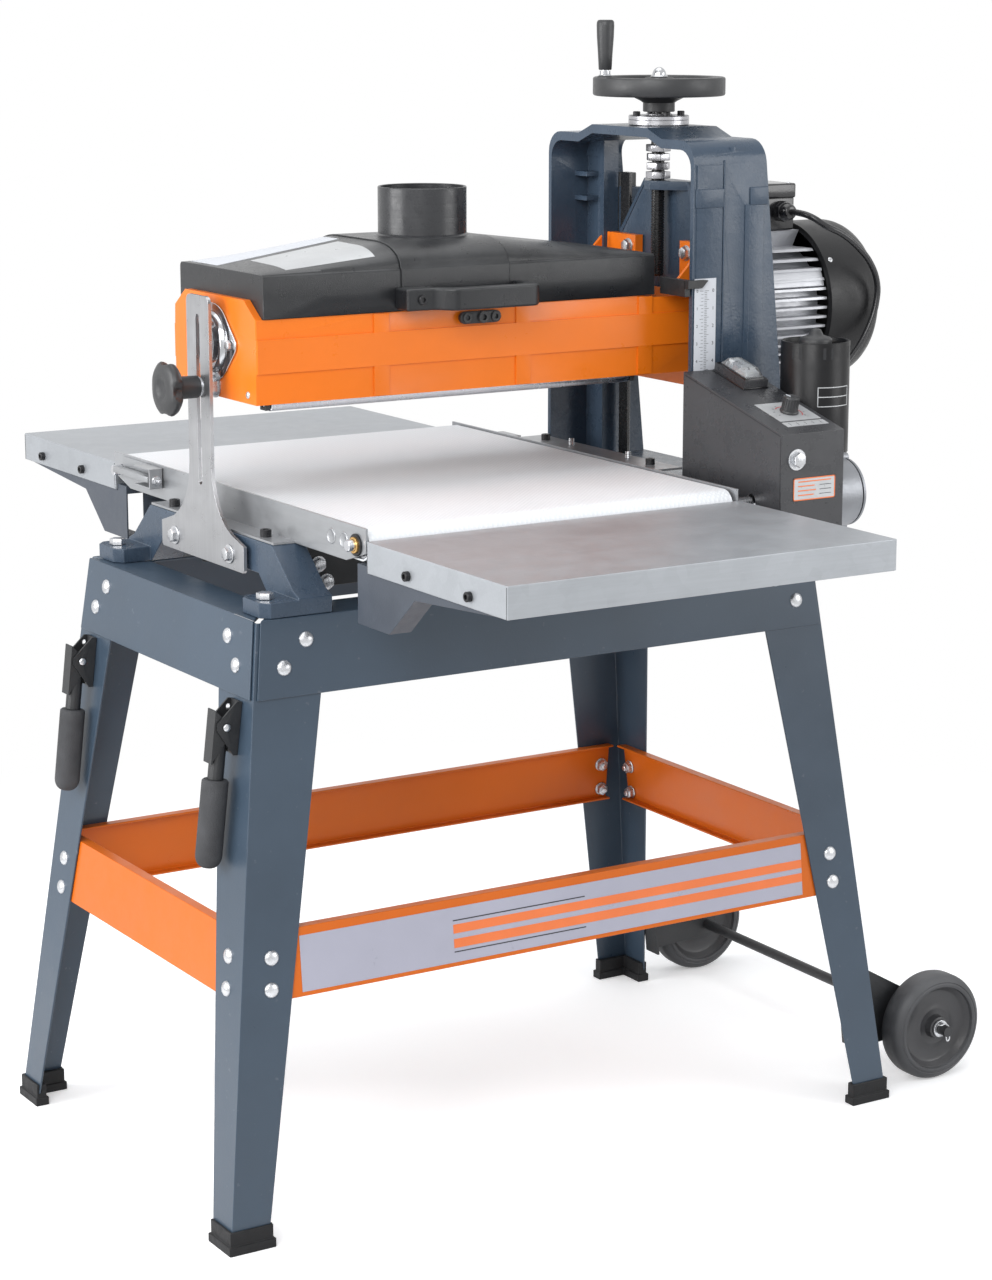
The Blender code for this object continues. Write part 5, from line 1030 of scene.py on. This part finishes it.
def makeCable():
    x, z = cable["gland"].x, cable["gland"].z
    low = shaftHeight + 0.0885
    body = block((0.382, -0.034, low + 0.0003), (0.4595, 0.034, 1.0600), 0.0022, 3)
    absorb(body, block((0.3805, -0.0355, 1.0590), (0.4610, 0.0355, 1.0765), 0.0026, 3))
    absorb(body, block((0.3790, -0.0150, 1.0560), (0.3810, 0.0150, 1.0700), 0.0005, 1))
    addPiece("terminal_box", body, glossPlastic, "head", ["junction_box"])
    gland = lathe([(0.0, 0.0), (0.0, 0.0118), (0.0016, 0.0122), (0.0030, 0.0118), (0.0030, 0.0)], 32)
    nut = bmesh.new()
    bmesh.ops.create_cone(nut, cap_ends=True, segments=6, radius1=0.0126, radius2=0.0126, depth=0.0095)
    bmesh.ops.translate(nut, vec=(0.0, 0.0, 0.0080), verts=nut.verts)
    soften(nut, nut.edges[:], 0.0009, 2)
    absorb(gland, nut)
    absorb(gland, lathe([(0.0120, 0.0), (0.0120, 0.0106), (0.0190, 0.0100), (0.0225, 0.0084),
                         (0.0240, 0.0060),
                         (0.0240, 0.0)], 32))
    addPiece("cable_gland", absorb(bmesh.new(), gland, aim((x, -0.0335, z), (0.0, -1.0, 0.0))), glossPlastic,
             "head", sharp=35)
    screws = [(domeHead(0.0030, 0.0012), (px, py, 1.0765), (0.0, 0.0, 1.0))
              for px in (0.3875, 0.4540) for py in (-0.0285, 0.0285)]
    scatter("terminal_box_screws", zincBolt, "head", screws)
    lead = wire(cable["route"], cable["radius"])
    bmesh.ops.translate(lead, vec=standShift, verts=lead.verts)
    mesh = bpy.data.meshes.new("motor_lead")
    lead.to_mesh(mesh)
    lead.free()
    mesh.materials.append(cableRubber)
    mesh.shade_smooth()
    piece = bpy.data.objects.new("motor_lead", mesh)
    bpy.context.scene.collection.objects.link(piece)
    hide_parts("motor_cable")
    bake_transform(piece)
    boot = [(0.0, 0.0040), (0.0, 0.0086), (0.0040, 0.0084), (0.0050, 0.0070), (0.0140, 0.0056),
            (0.0150, 0.0050),
            (0.0150, 0.0040), (0.0, 0.0040)]
    addPiece("control_box_grommet", lathed(boot, (0.3020, -0.1740, 0.7900), (1.0, 0.0, 0.0), 32),
             cableRubber,
             "base")


# dust cover
hood = {"left": -0.2915, "right": 0.2117, "half": 0.100, "low": 0.9623, "edge": 1.0078, "crown": 1.0335,
        "saddle": (-0.124, 0.0165), "port": (-0.0376, 0.050, 1.0885), "flat": 0.045}


def roof(x):
    low, high = hood["saddle"]
    if x < low:
        share = (x - hood["left"]) / (low - hood["left"])
    elif x > high:
        share = (hood["right"] - x) / (hood["right"] - high)
    else:
        share = 1.0
    return hood["edge"] + 0.0012 + (hood["crown"] - hood["edge"] - 0.0012) * share


def hoodSection(x, shrink, bottom, lift=0.0):
    half = hood["half"] - shrink
    edge = hood["edge"] - shrink
    crown = roof(x) - shrink + lift
    points = [(half, bottom), (half, (bottom + edge) / 2.0), (half, edge - 0.0035),
              (half - 0.0008, edge - 0.0010),
              (half - 0.0028, edge + 0.0008)]
    for i in range(1, 10):
        turn = pi / 2.0 * i / 9
        points.append((half - 0.0028 - (half - 0.0028 - hood["flat"]) * (1.0 - cos(turn)),
                       edge + 0.0008 + (crown - edge - 0.0008) * sin(turn)))
    return points + [(-y, z) for y, z in reversed(points)]


def hoodShell(stations, shrink, bottom, lift=0.0):
    bm = bmesh.new()
    first = hoodSection(stations[0], shrink, bottom, lift)
    row = [bm.verts.new((stations[0], y, z)) for y, z in first]
    edges = [bm.edges.new(pair) for pair in zip(row, row[1:])]
    for x in stations[1:]:
        grown = bmesh.ops.extrude_edge_only(bm, edges=edges)["geom"]
        bmesh.ops.translate(bm, vec=(x - row[0].co.x, 0, 0), verts=grownVerts(grown))
        edges = [e for e in grown if isinstance(e, bmesh.types.BMEdge)
                 and abs(e.verts[0].co.x - e.verts[1].co.x) < 1e-7]
        moved = sorted({v for e in edges for v in e.verts},
                       key=lambda v: (-v.co.y, v.co.z if v.co.y > 0 else -v.co.z))
        for vertex, (y, z) in zip(moved, hoodSection(x, shrink, bottom, lift)):
            vertex.co = (x, y, z)
        row = moved
    return bm


def makeHood():
    stations = [hood["left"], -0.22, -0.17, -0.1262, -0.1240, -0.1218, -0.085, -0.0376, -0.010, 0.0143,
                0.0165,
                0.0187, 0.060, 0.110, 0.160, hood["right"]]
    shell = hoodShell(stations, 0.0, hood["low"])
    ends = [e for e in shell.edges if e.is_boundary and abs(e.verts[0].co.x - e.verts[1].co.x) < 1e-7]
    for x in (hood["left"], hood["right"]):
        side = [e for e in ends if abs(e.verts[0].co.x - x) < 1e-6]
        bmesh.ops.contextual_create(shell, geom=side
                                    + [shell.edges.new([v for v in {v for e in side for v in e.verts}
                                                        if abs(v.co.z - hood["low"]) < 1e-6])])
    bmesh.ops.remove_doubles(shell, verts=shell.verts, dist=1e-6)
    bmesh.ops.recalc_face_normals(shell, faces=shell.faces)
    piece = addPiece("hood_shell", shell, hoodPlastic, "dust_cover", ["dust_cover"], 40,
                     edge=0.0022,
                     segments=3)
    wall = piece.modifiers.new("wall", "SOLIDIFY")
    wall.thickness = 0.0028
    wall.offset = -1.0
    # raised saddle around the port
    saddle = hoodShell([-0.1228, -0.1218, -0.10, -0.07, -0.04, -0.01, 0.0143, 0.0153], -0.0015, hood["low"]
                       + 0.0005, 0.0)
    bmesh.ops.recalc_face_normals(saddle, faces=saddle.faces)
    band = addPiece("hood_saddle", saddle, hoodPlastic, "dust_cover", sharp=40)
    thick = band.modifiers.new("wall", "SOLIDIFY")
    thick.thickness = 0.0018
    thick.offset = -1.0
    x, r, top = hood["port"]
    profile = [(1.0240, r - 0.0032), (1.0240, r + 0.0038), (1.0345, r + 0.0036), (1.0362, r + 0.0010),
               (1.0368, r),
               (top - 0.0008, r), (top, r - 0.0006), (top, r - 0.0022), (top - 0.0006, r - 0.0028),
               (1.0500, r - 0.0030), (1.0490, r - 0.0040), (1.0240, r - 0.0044), (1.0240, r - 0.0032)]
    addPiece("hood_port", lathed(profile, (x, 0.0, 0.0), steps=96), portPlastic, "dust_cover",
             sharp=35)
    # painted shade: a dark disc across the port's throat stands in for its shaded inside
    throatShade = lathed([(1.0348, 0.0), (1.0348, r - 0.0034), (1.0338, r - 0.0034), (1.0338, 0.0)],
                    (x, 0.0, 0.0), steps=48)
    addPiece("hood_throat_shade", throatShade, darkSeamAndShade, "dust_cover")
    # loop handle, swept around its bends
    grip = {"low": 0.9640, "high": 0.9880}
    pad = [(-0.130, -0.0990), (-0.130, -0.1265), (-0.096, -0.1275), (-0.088, -0.1400), (-0.079, -0.1470),
           (0.022, -0.1470), (0.031, -0.1390), (0.031, -0.0990), (0.0195, -0.0990), (0.0195, -0.1240),
           (0.0130, -0.1300), (-0.071, -0.1300), (-0.081, -0.1240), (-0.091, -0.1140), (-0.091, -0.0990)]
    handle = outline(pad, "z", grip["low"], grip["high"] - grip["low"])
    upright = [e for e in handle.edges if abs(e.verts[0].co.z - e.verts[1].co.z) > 0.01
               and e.verts[0].co.y < -0.11]
    soften(handle, upright, 0.0040, 4)
    bmesh.ops.recalc_face_normals(handle, faces=handle.faces)
    addPiece("hood_handle", handle, hoodPlastic, "dust_cover", sharp=35, edge=0.0026,
             segments=4)
    scatter("hood_handle_screws", blackSteel, "dust_cover",
            [(socketHead(0.0052, 0.0030), (-0.1120, -0.1268, 0.9760), (0.0, -1.0, 0.0))])
    hinge = bmesh.new()
    for low, high in ((-0.240, -0.180), (0.090, 0.150)):
        absorb(hinge, lathe([(low, 0.0), (low, 0.0030), (low + 0.0006, 0.0035), (high - 0.0006, 0.0035),
                             (high, 0.0030), (high, 0.0)], 24), aim((0.0, 0.104, 0.9635), (1.0, 0.0, 0.0)))
        absorb(hinge, block((low, 0.0985, 0.9640), (high, 0.1035, 0.9668), 0.0004, 1))
        absorb(hinge, block((low, 0.1000, 0.9660), (high, 0.1018, 0.9860), 0.0004, 1))
    addPiece("hood_hinge_leaves", hinge, ironPaint, "dust_cover")
    # latch block with two round screws
    latch = {"z": 0.9505, "face": -0.1003}
    pad = ring((-0.0445, latch["z"]), 0.0068, 90, 270, 10) + ring((-0.0050, latch["z"]), 0.0068, -90, 90, 10)
    bar = outline(pad, "y", latch["face"], -0.0052, 0.0008, 2)
    addPiece("latch_bar", bar, knobPlastic, "cover_latch", ["cover_latch"])
    bosses = bmesh.new()
    for bx, radius, depth in ((-0.0425, 0.0058, 0.0070), (-0.0225, 0.0066, 0.0088),
                              (-0.0060, 0.0056, 0.0072)):
        absorb(bosses, lathe([(0.0, 0.0), (0.0, radius), (depth - 0.0006, radius), (depth, radius - 0.0006),
                              (depth, radius * 0.5), (depth - 0.0026, radius * 0.45), (depth - 0.0026, 0.0)],
                             32),
               aim((bx, latch["face"], latch["z"]), (0.0, -1.0, 0.0)))
    addPiece("latch_bosses", bosses, knobPlastic, "cover_latch")
    makeHoodPlates()


def makeHoodPlates():  # bare plates where notices would sit: they follow the roof
    plates = {"silver": ((-0.2570, -0.1480), (-0.0870, 0.0050)),
              "white": ((-0.2850, -0.1340), (0.0200, 0.0860))}
    for name, (xs, ys) in plates.items():
        bm = bmesh.new()
        bmesh.ops.create_grid(bm, x_segments=12, y_segments=12, size=0.5)
        for vertex in bm.verts:
            x = xs[0] + (vertex.co.x + 0.5) * (xs[1] - xs[0])
            y = ys[0] + (vertex.co.y + 0.5) * (ys[1] - ys[0])
            if name == "silver":
                x += 0.25 * (vertex.co.y + 0.5) * 0.020
            half, flat = hood["half"] - 0.0028, hood["flat"]
            share = max(0.0, min(1.0, (half - abs(y)) / (half - flat)))
            rise = sin(acos(1.0 - share))
            z = hood["edge"] + 0.0008 + (roof(x) - hood["edge"] - 0.0008) * rise
            vertex.co = (x, y, z + 0.0003)
        material = labelSilver if name == "silver" else labelWhite
        bmesh.ops.recalc_face_normals(bm, faces=bm.faces)
        bmesh.ops.solidify(bm, geom=bm.faces[:], thickness=0.0003)
        addPiece("hood_plate_" + name, bm, material, "dust_cover")


# column details
def makeColumnDetails():
    guides = bmesh.new()
    for sign in (-1, 1):
        low, high = sorted((sign * 0.0815, sign * 0.1000))
        absorb(guides, block((0.2985, low, 0.745), (0.3030, high, 1.0880), 0.0006, 1))
    addPiece("guide_strips", guides, greaseSteel, "base")
    gibs, bolts = bmesh.new(), []
    for sign in (-1, 1):
        low, high = sorted((sign * 0.1060, sign * 0.1262))
        absorb(gibs, block((0.3005, low, 0.9500), (0.3255, high, 1.0860), 0.0010, 2))
        bolts.append((hexHead(0.0100, 0.0045, 0.0), (0.3130, sign * 0.1262, 1.0650), (0.0, sign, 0.0)))
        bolts.append((hexHead(0.0100, 0.0045, 0.0), (0.3130, sign * 0.1262, 0.9850), (0.0, sign, 0.0)))
    addPiece("gib_blocks", gibs, ironPaint, "head")
    scatter("gib_bolts", blackSteel, "head", bolts)
    relief = bmesh.new()  # cast bands and beads on the column's sides
    for sign in (-1, 1):
        low, high = sorted((sign * 0.1505, sign * 0.1530))
        absorb(relief, block((0.2312, low, 1.0620), (0.2696, high, 1.0836), 0.0011, 3))
        absorb(relief, block((0.3066, low, 1.0630), (0.3318, high, 1.0836), 0.0011, 3))
        low, high = sorted((sign * 0.1505, sign * 0.1524))
        absorb(relief, block((0.2694, low, 0.7050), (0.2718, high, 1.1150), 0.0009, 3))
        absorb(relief, block((0.3054, low, 0.7050), (0.3074, high, 1.0625), 0.0008, 3))
    addPiece("column_relief", relief, castPaint, "base")
    # scale plate on the column and its pointer on the head
    scale = {"left": 0.2305, "right": 0.2600, "low": 0.7990, "high": 0.9830, "y": -0.1523, "step": 0.0020}
    y = scale["y"]
    addPiece("scale_plate", block((scale["left"], y - 0.0006, scale["low"]),
                                  (scale["right"], y + 0.0002, scale["high"])),
             labelWhite, "base")
    ticks = bmesh.new()
    count = int((scale["high"] - scale["low"] - 0.018) / scale["step"])
    for i in range(count):
        z = scale["high"] - 0.014 - i * scale["step"]
        reach = 0.0062 if i % 5 == 0 else 0.0034
        absorb(ticks, block((0.2440, y - 0.0008, z - 0.0002), (0.2440 + reach, y - 0.0006, z + 0.0002)))
        if i % 2 == 0:
            reach = 0.0050 if i % 8 == 0 else 0.0030
            absorb(ticks, block((0.2425 - reach, y - 0.0008, z - 0.0002), (0.2425, y - 0.0006, z + 0.0002)))
        if i % 10 == 0:
            mark = letters(str(i // 10), 0.0056)
            absorb(ticks, mark, at(0.2560, y - 0.0006, z) @ turned(radians(90.0), "X"))
            mark = letters(str(i // 10), 0.0048)
            absorb(ticks, mark, at(0.2340, y - 0.0006, z) @ turned(radians(90.0), "X"))
    addPiece("scale_marks", ticks, labelInk, "base", fixNormals=False)
    hand = [(0.2190, 0.9725), (0.2190, 0.9820), (0.2400, 0.9820), (0.2470, 0.9812), (0.2385, 0.9725)]
    pointer = outline(hand, "y", -0.1550, -0.0016, 0.0003, 1)
    absorb(pointer, block((0.2190, -0.1560, 0.9725), (0.2262, -0.1480, 0.9820), 0.0004, 1))
    absorb(pointer, block((0.2190, -0.1500, 0.9630), (0.2262, -0.1000, 0.9820), 0.0004, 1))
    addPiece("depth_pointer", pointer, ironPaint, "head")


def makeScrew():
    screw = {"x": 0.284, "pitch": 0.0030, "low": 0.9735, "radius": 0.0080}
    profile = [(0.9720, 0.0), (0.9720, 0.0062)]
    z = screw["low"]
    while z < 1.1180:
        profile += [(z, screw["radius"] - 0.0009), (z + screw["pitch"] * 0.25, screw["radius"]),
                    (z + screw["pitch"] * 0.50, screw["radius"]), (z + screw["pitch"] * 0.75,
                                                                   screw["radius"] - 0.0009)]
        z += screw["pitch"]
    profile += [(1.1200, 0.0080), (1.1200, 0.0085), (1.1490, 0.0085), (1.1495, 0.0070), (1.2030, 0.0070),
                (1.2030, 0.0)]
    addPiece("screw_thread", lathed(profile, (screw["x"], 0.0, 0.0), steps=32), greaseSteel, "height_screw",
             ["lead_screw"], 40)
    acorn = [(1.2030, 0.0), (1.2030, 0.0098), (1.2040, 0.0102), (1.2052, 0.0094), (1.2056, 0.0082)]
    acorn += [(1.2056 + 0.0092 * sin(t), 0.0082 * cos(t))
              for t in [pi / 2.0 * i / 8 for i in range(1, 8)]] + [(1.2148, 0.0)]
    addPiece("acorn_nut", lathed(acorn, (screw["x"], 0.0, 0.0), steps=40), chromeSteel, "height_screw",
             sharp=50)
    nuts = bmesh.new()
    for i, z in enumerate((1.0865, 1.0970, 1.1075, 1.1180)):
        nut = bmesh.new()
        bmesh.ops.create_cone(nut, cap_ends=True, segments=6, radius1=0.0148, radius2=0.0148, depth=0.0082)
        soften(nut, nut.edges[:], 0.0008, 2)
        absorb(nuts, nut, at(screw["x"], 0.0, z + 0.0036) @ turned(radians(17.0 * i), "Z"))
    addPiece("screw_nuts", nuts, turnedSteel, "height_screw")
    top, flange = 1.1595, 1.1483
    profile = [(flange, 0.0092), (flange, 0.0340), (flange + 0.0008, 0.0355), (flange + 0.0058, 0.0355),
               (flange + 0.0062, 0.0348), (flange + 0.0066, 0.0355), (top - 0.0008, 0.0355), (top, 0.0347),
               (top, 0.0160), (top + 0.0016, 0.0155), (top + 0.0016, 0.0092), (flange, 0.0092)]
    addPiece("screw_bearing_shape", lathed(profile, (screw["x"], 0.0, 0.0), steps=72), turnedSteel, "base",
             ["screw_bearing"])
    screws = [(socketHead(0.0043, 0.0046), (screw["x"] + 0.0275 * cos(radians(a)), 0.0275 * sin(radians(a)),
                                            top),
               (0.0, 0.0, 1.0)) for a in (-15, 75, 165, 255)]
    scatter("screw_bearing_screws", blackSteel, "base", screws)
    rim = 0.0775
    wheel = [(1.1635, 0.0076), (1.1635, 0.0180), (1.1642, 0.0187), (1.1738, 0.0187), (1.1758, 0.0215),
             (1.1800, 0.0300),
             (1.1822, 0.0380), (1.1835, 0.0440), (1.1830, rim - 0.0180), (1.1822, rim - 0.0160),
             (1.1820, rim - 0.0030),
             (1.1826, rim - 0.0010), (1.1842, rim), (1.2015, rim), (1.2030, rim - 0.0008),
             (1.2036, rim - 0.0022),
             (1.2036, rim - 0.0120), (1.2028, rim - 0.0140), (1.2010, rim - 0.0150), (1.1905, rim - 0.0165),
             (1.1890, 0.0320), (1.1900, 0.0250), (1.1960, 0.0180), (1.2030, 0.0160), (1.2030, 0.0076),
             (1.1635, 0.0076)]
    body = lathe(wheel, 96)
    stud = (-0.0640, 0.018)
    absorb(body, lathe([(1.1860, 0.0), (1.1860, 0.0100), (1.2040, 0.0095), (1.2052, 0.0085), (1.2052, 0.0)],
                       32),
           Matrix.Translation((*stud, 0.0)))
    addPiece("handwheel_shape", absorb(bmesh.new(), body, at(screw["x"], 0.0, 0.0)), knobPlastic,
             "height_screw", ["handwheel"], 35)
    stem = lathed([(1.2045, 0.0), (1.2045, 0.0072), (1.2056, 0.0076), (1.2066, 0.0070), (1.2070, 0.0062),
                   (1.2110, 0.0062),
                   (1.2112, 0.0040), (1.2560, 0.0040), (1.2560, 0.0)], (screw["x"] + stud[0], stud[1], 0.0),
                  steps=32)
    addPiece("crank_stem", stem, chromeSteel, "height_screw")
    grip = [(1.2120, 0.0046), (1.2120, 0.0070), (1.2128, 0.0076), (1.2300, 0.0085), (1.2500, 0.0099),
            (1.2630, 0.0103),
            (1.2665, 0.0100), (1.2685, 0.0088), (1.2690, 0.0070), (1.2690, 0.0), (1.2565, 0.0),
            (1.2565, 0.0046),
            (1.2120, 0.0046)]
    addPiece("crank_grip_shape", lathed(grip, (screw["x"] + stud[0], stud[1], 0.0), steps=48), knobPlastic,
             "crank_grip",
             ["crank_grip"], 40)


def makeLockKnob():
    knob = {"z": 0.882, "lobes": 4, "steps": 96}
    # each level: along the axis, radius, depth of the finger hollows
    levels = ((-0.0020, 0.0150, 0.0), (-0.0010, 0.0215, 0.0045), (0.0005, 0.0255, 0.0085),
              (0.0030, 0.0287, 0.0115),
              (0.0060, 0.0304, 0.0120), (0.0090, 0.0310, 0.0088), (0.0115, 0.0301, 0.0046),
              (0.0135, 0.0275, 0.0012),
              (0.0150, 0.0235, 0.0), (0.0158, 0.0180, 0.0), (0.0159, 0.0135, 0.0), (0.0150, 0.0110, 0.0),
              (0.0138, 0.0085, 0.0), (0.0132, 0.0045, 0.0))
    disc = bmesh.new()
    bmesh.ops.create_circle(disc, segments=knob["steps"], radius=1.0)
    edges = disc.edges[:]
    for i, (along, radius, hollow) in enumerate(levels):
        if i:
            grown = bmesh.ops.extrude_edge_only(disc, edges=edges)["geom"]
            points = set(grownVerts(grown))
            edges = [e for e in grown if isinstance(e, bmesh.types.BMEdge)
                     and all(v in points for v in e.verts)]
        else:
            points = set(disc.verts)
        for vertex in points:
            turn = Vector((vertex.co.x, vertex.co.y)).angle_signed(Vector((1.0, 0.0)))
            reach = radius - hollow * max(0.0, cos(knob["lobes"] * turn)) ** 1.5
            vertex.co = (reach * cos(turn), reach * sin(turn), along)
    bmesh.ops.contextual_create(disc, geom=edges)
    bmesh.ops.recalc_face_normals(disc, faces=disc.faces)
    absorb(disc, lathe([(0.0020, 0.0), (-0.0019, 0.0152), (-0.0030, 0.0146), (-0.0080, 0.0125),
                        (-0.0270, 0.0122),
                        (-0.0280, 0.0112), (-0.0285, 0.0)], 40))
    place = aim((-0.3500, 0.0, knob["z"]), (-1.0, 0.0, 0.0))
    addPiece("lock_knob_shape", absorb(bmesh.new(), disc, place), knobPlastic, "lock_knob",
             ["lock_knob"], 40)
    stud = lathe([(-0.0650, 0.0), (-0.0650, 0.0035), (-0.0285, 0.0035), (-0.0285, 0.0)], 24)
    absorb(stud, lathe([(-0.0295, 0.0036), (-0.0295, 0.0110), (-0.0282, 0.0110), (-0.0282, 0.0036),
                        (-0.0295, 0.0036)], 32))
    addPiece("lock_knob_stud", absorb(bmesh.new(), stud, place), zincBolt, "lock_knob")
    scatter("lock_stud_nut", zincBolt, "head",
            [(hexHead(0.0190, 0.0085, 0.0135), (-0.3001, 0.0, knob["z"]), (-1.0, 0.0, 0.0))])


makeStand()
makeBraceLabel()
makeWheels()
makeLiftHandles()
print("stand done")
makeBase()
makeBed()
print("castings and bed done")
makeFeedDrive()
makeControls()
print("feed drive and controls done")
makeHead()
makeCowl()
makeCable()
makeHood()
print("head done")
makeColumnDetails()
makeScrew()
makeLockKnob()
print("column, screw and knob done")


# floor, lamps and surroundings
studio = {"key": 92.0, "left": 84.0, "top": 24.0, "fill": 38.0, "world": 0.55,
          "floorNear": 0.9, "floorFar": 1.7}


def seenPlainly(tree):  # 1 for what the camera sees, straight or through metal and glass
    path = addNode(tree, "ShaderNodeLightPath")
    either = path.outputs["Is Camera Ray"]
    for kind in ("Is Glossy Ray", "Is Transmission Ray"):
        both = addNode(tree, "ShaderNodeMath", operation="MAXIMUM")
        tree.links.new(either, both.inputs[0])
        tree.links.new(path.outputs[kind], both.inputs[1])
        either = both.outputs[0]
    return either


def makeStudio():
    floorMesh = bmesh.new()
    bmesh.ops.create_grid(floorMesh, x_segments=1, y_segments=1, size=9.0)
    mesh = bpy.data.meshes.new("floor")
    floorMesh.to_mesh(mesh)
    floorMesh.free()
    floor = bpy.data.objects.new("floor", mesh)
    bpy.context.scene.collection.objects.link(floor)
    paper = bpy.data.materials.new("floorPaper")
    paper.use_nodes = True
    tree = paper.node_tree
    shader = tree.nodes["Principled BSDF"]
    shader.inputs["Roughness"].default_value = 0.9
    shader.inputs["Specular IOR Level"].default_value = 0.1
    seen = seenPlainly(tree)
    tone = mixColour(tree, seen, (0.62, 0.62, 0.62, 1.0), (0.97, 0.97, 0.97, 1.0))
    tree.links.new(tone, shader.inputs["Base Color"])
    shader.inputs["Emission Color"].default_value = (1.0, 1.0, 1.0, 1.0)
    lift = addNode(tree, "ShaderNodeMath", operation="MULTIPLY")
    lift.inputs[1].default_value = 0.30
    tree.links.new(seen, lift.inputs[0])
    tree.links.new(lift.outputs[0], shader.inputs["Emission Strength"])
    # away from the object the floor runs into plain white, where the lamps no longer reach
    away = addNode(tree, "ShaderNodeVectorMath", operation="LENGTH")
    tree.links.new(addNode(tree, "ShaderNodeTexCoord").outputs["Object"], away.inputs[0])
    fade = addNode(tree, "ShaderNodeMapRange", interpolation_type="SMOOTHSTEP")
    fade.inputs["From Min"].default_value = studio["floorNear"]
    fade.inputs["From Max"].default_value = studio["floorFar"]
    tree.links.new(away.outputs["Value"], fade.inputs["Value"])
    share = addNode(tree, "ShaderNodeMath", operation="MULTIPLY")
    tree.links.new(fade.outputs[0], share.inputs[0])
    tree.links.new(seen, share.inputs[1])
    white = addNode(tree, "ShaderNodeEmission", in_Strength=1.0)
    mix = addNode(tree, "ShaderNodeMixShader")
    tree.links.new(share.outputs[0], mix.inputs[0])
    tree.links.new(shader.outputs[0], mix.inputs[1])
    tree.links.new(white.outputs[0], mix.inputs[2])
    tree.links.new(mix.outputs[0], tree.nodes["Material Output"].inputs["Surface"])
    mesh.materials.append(paper)
    world = bpy.data.worlds.new("studio")
    bpy.context.scene.world = world
    world.use_nodes = True
    tree = world.node_tree
    plain = tree.nodes["Background"]
    plain.inputs["Color"].default_value = (0.93, 0.96, 1.0, 1.0)
    plain.inputs["Strength"].default_value = studio["world"]
    white = addNode(tree, "ShaderNodeBackground", in_Strength=1.0)
    white.inputs["Color"].default_value = (1.0, 1.0, 1.0, 1.0)
    mix = addNode(tree, "ShaderNodeMixShader")
    tree.links.new(seenPlainly(tree), mix.inputs[0])
    tree.links.new(plain.outputs[0], mix.inputs[1])
    tree.links.new(white.outputs[0], mix.inputs[2])
    tree.links.new(mix.outputs[0], tree.nodes["World Output"].inputs["Surface"])
    lamps = (("key", (-2.6, -2.4, 2.6), 2.2, studio["key"]), ("left", (-3.2, 0.6, 1.5), 2.0, studio["left"]),
             ("top", (0.0, 0.2, 3.4), 2.4, studio["top"]), ("fill", (2.4, -2.6, 1.6), 1.8, studio["fill"]))
    for name, place, size, power in lamps:
        data = bpy.data.lights.new(name, "AREA")
        data.energy = power
        data.size = size
        lamp = bpy.data.objects.new(name, data)
        lamp.location = place
        lamp.rotation_euler = (Vector((0.0, 0.0, 0.7)) - Vector(place)).to_track_quat("-Z", "Y").to_euler()
        bpy.context.scene.collection.objects.link(lamp)


makeStudio()
print("studio done")
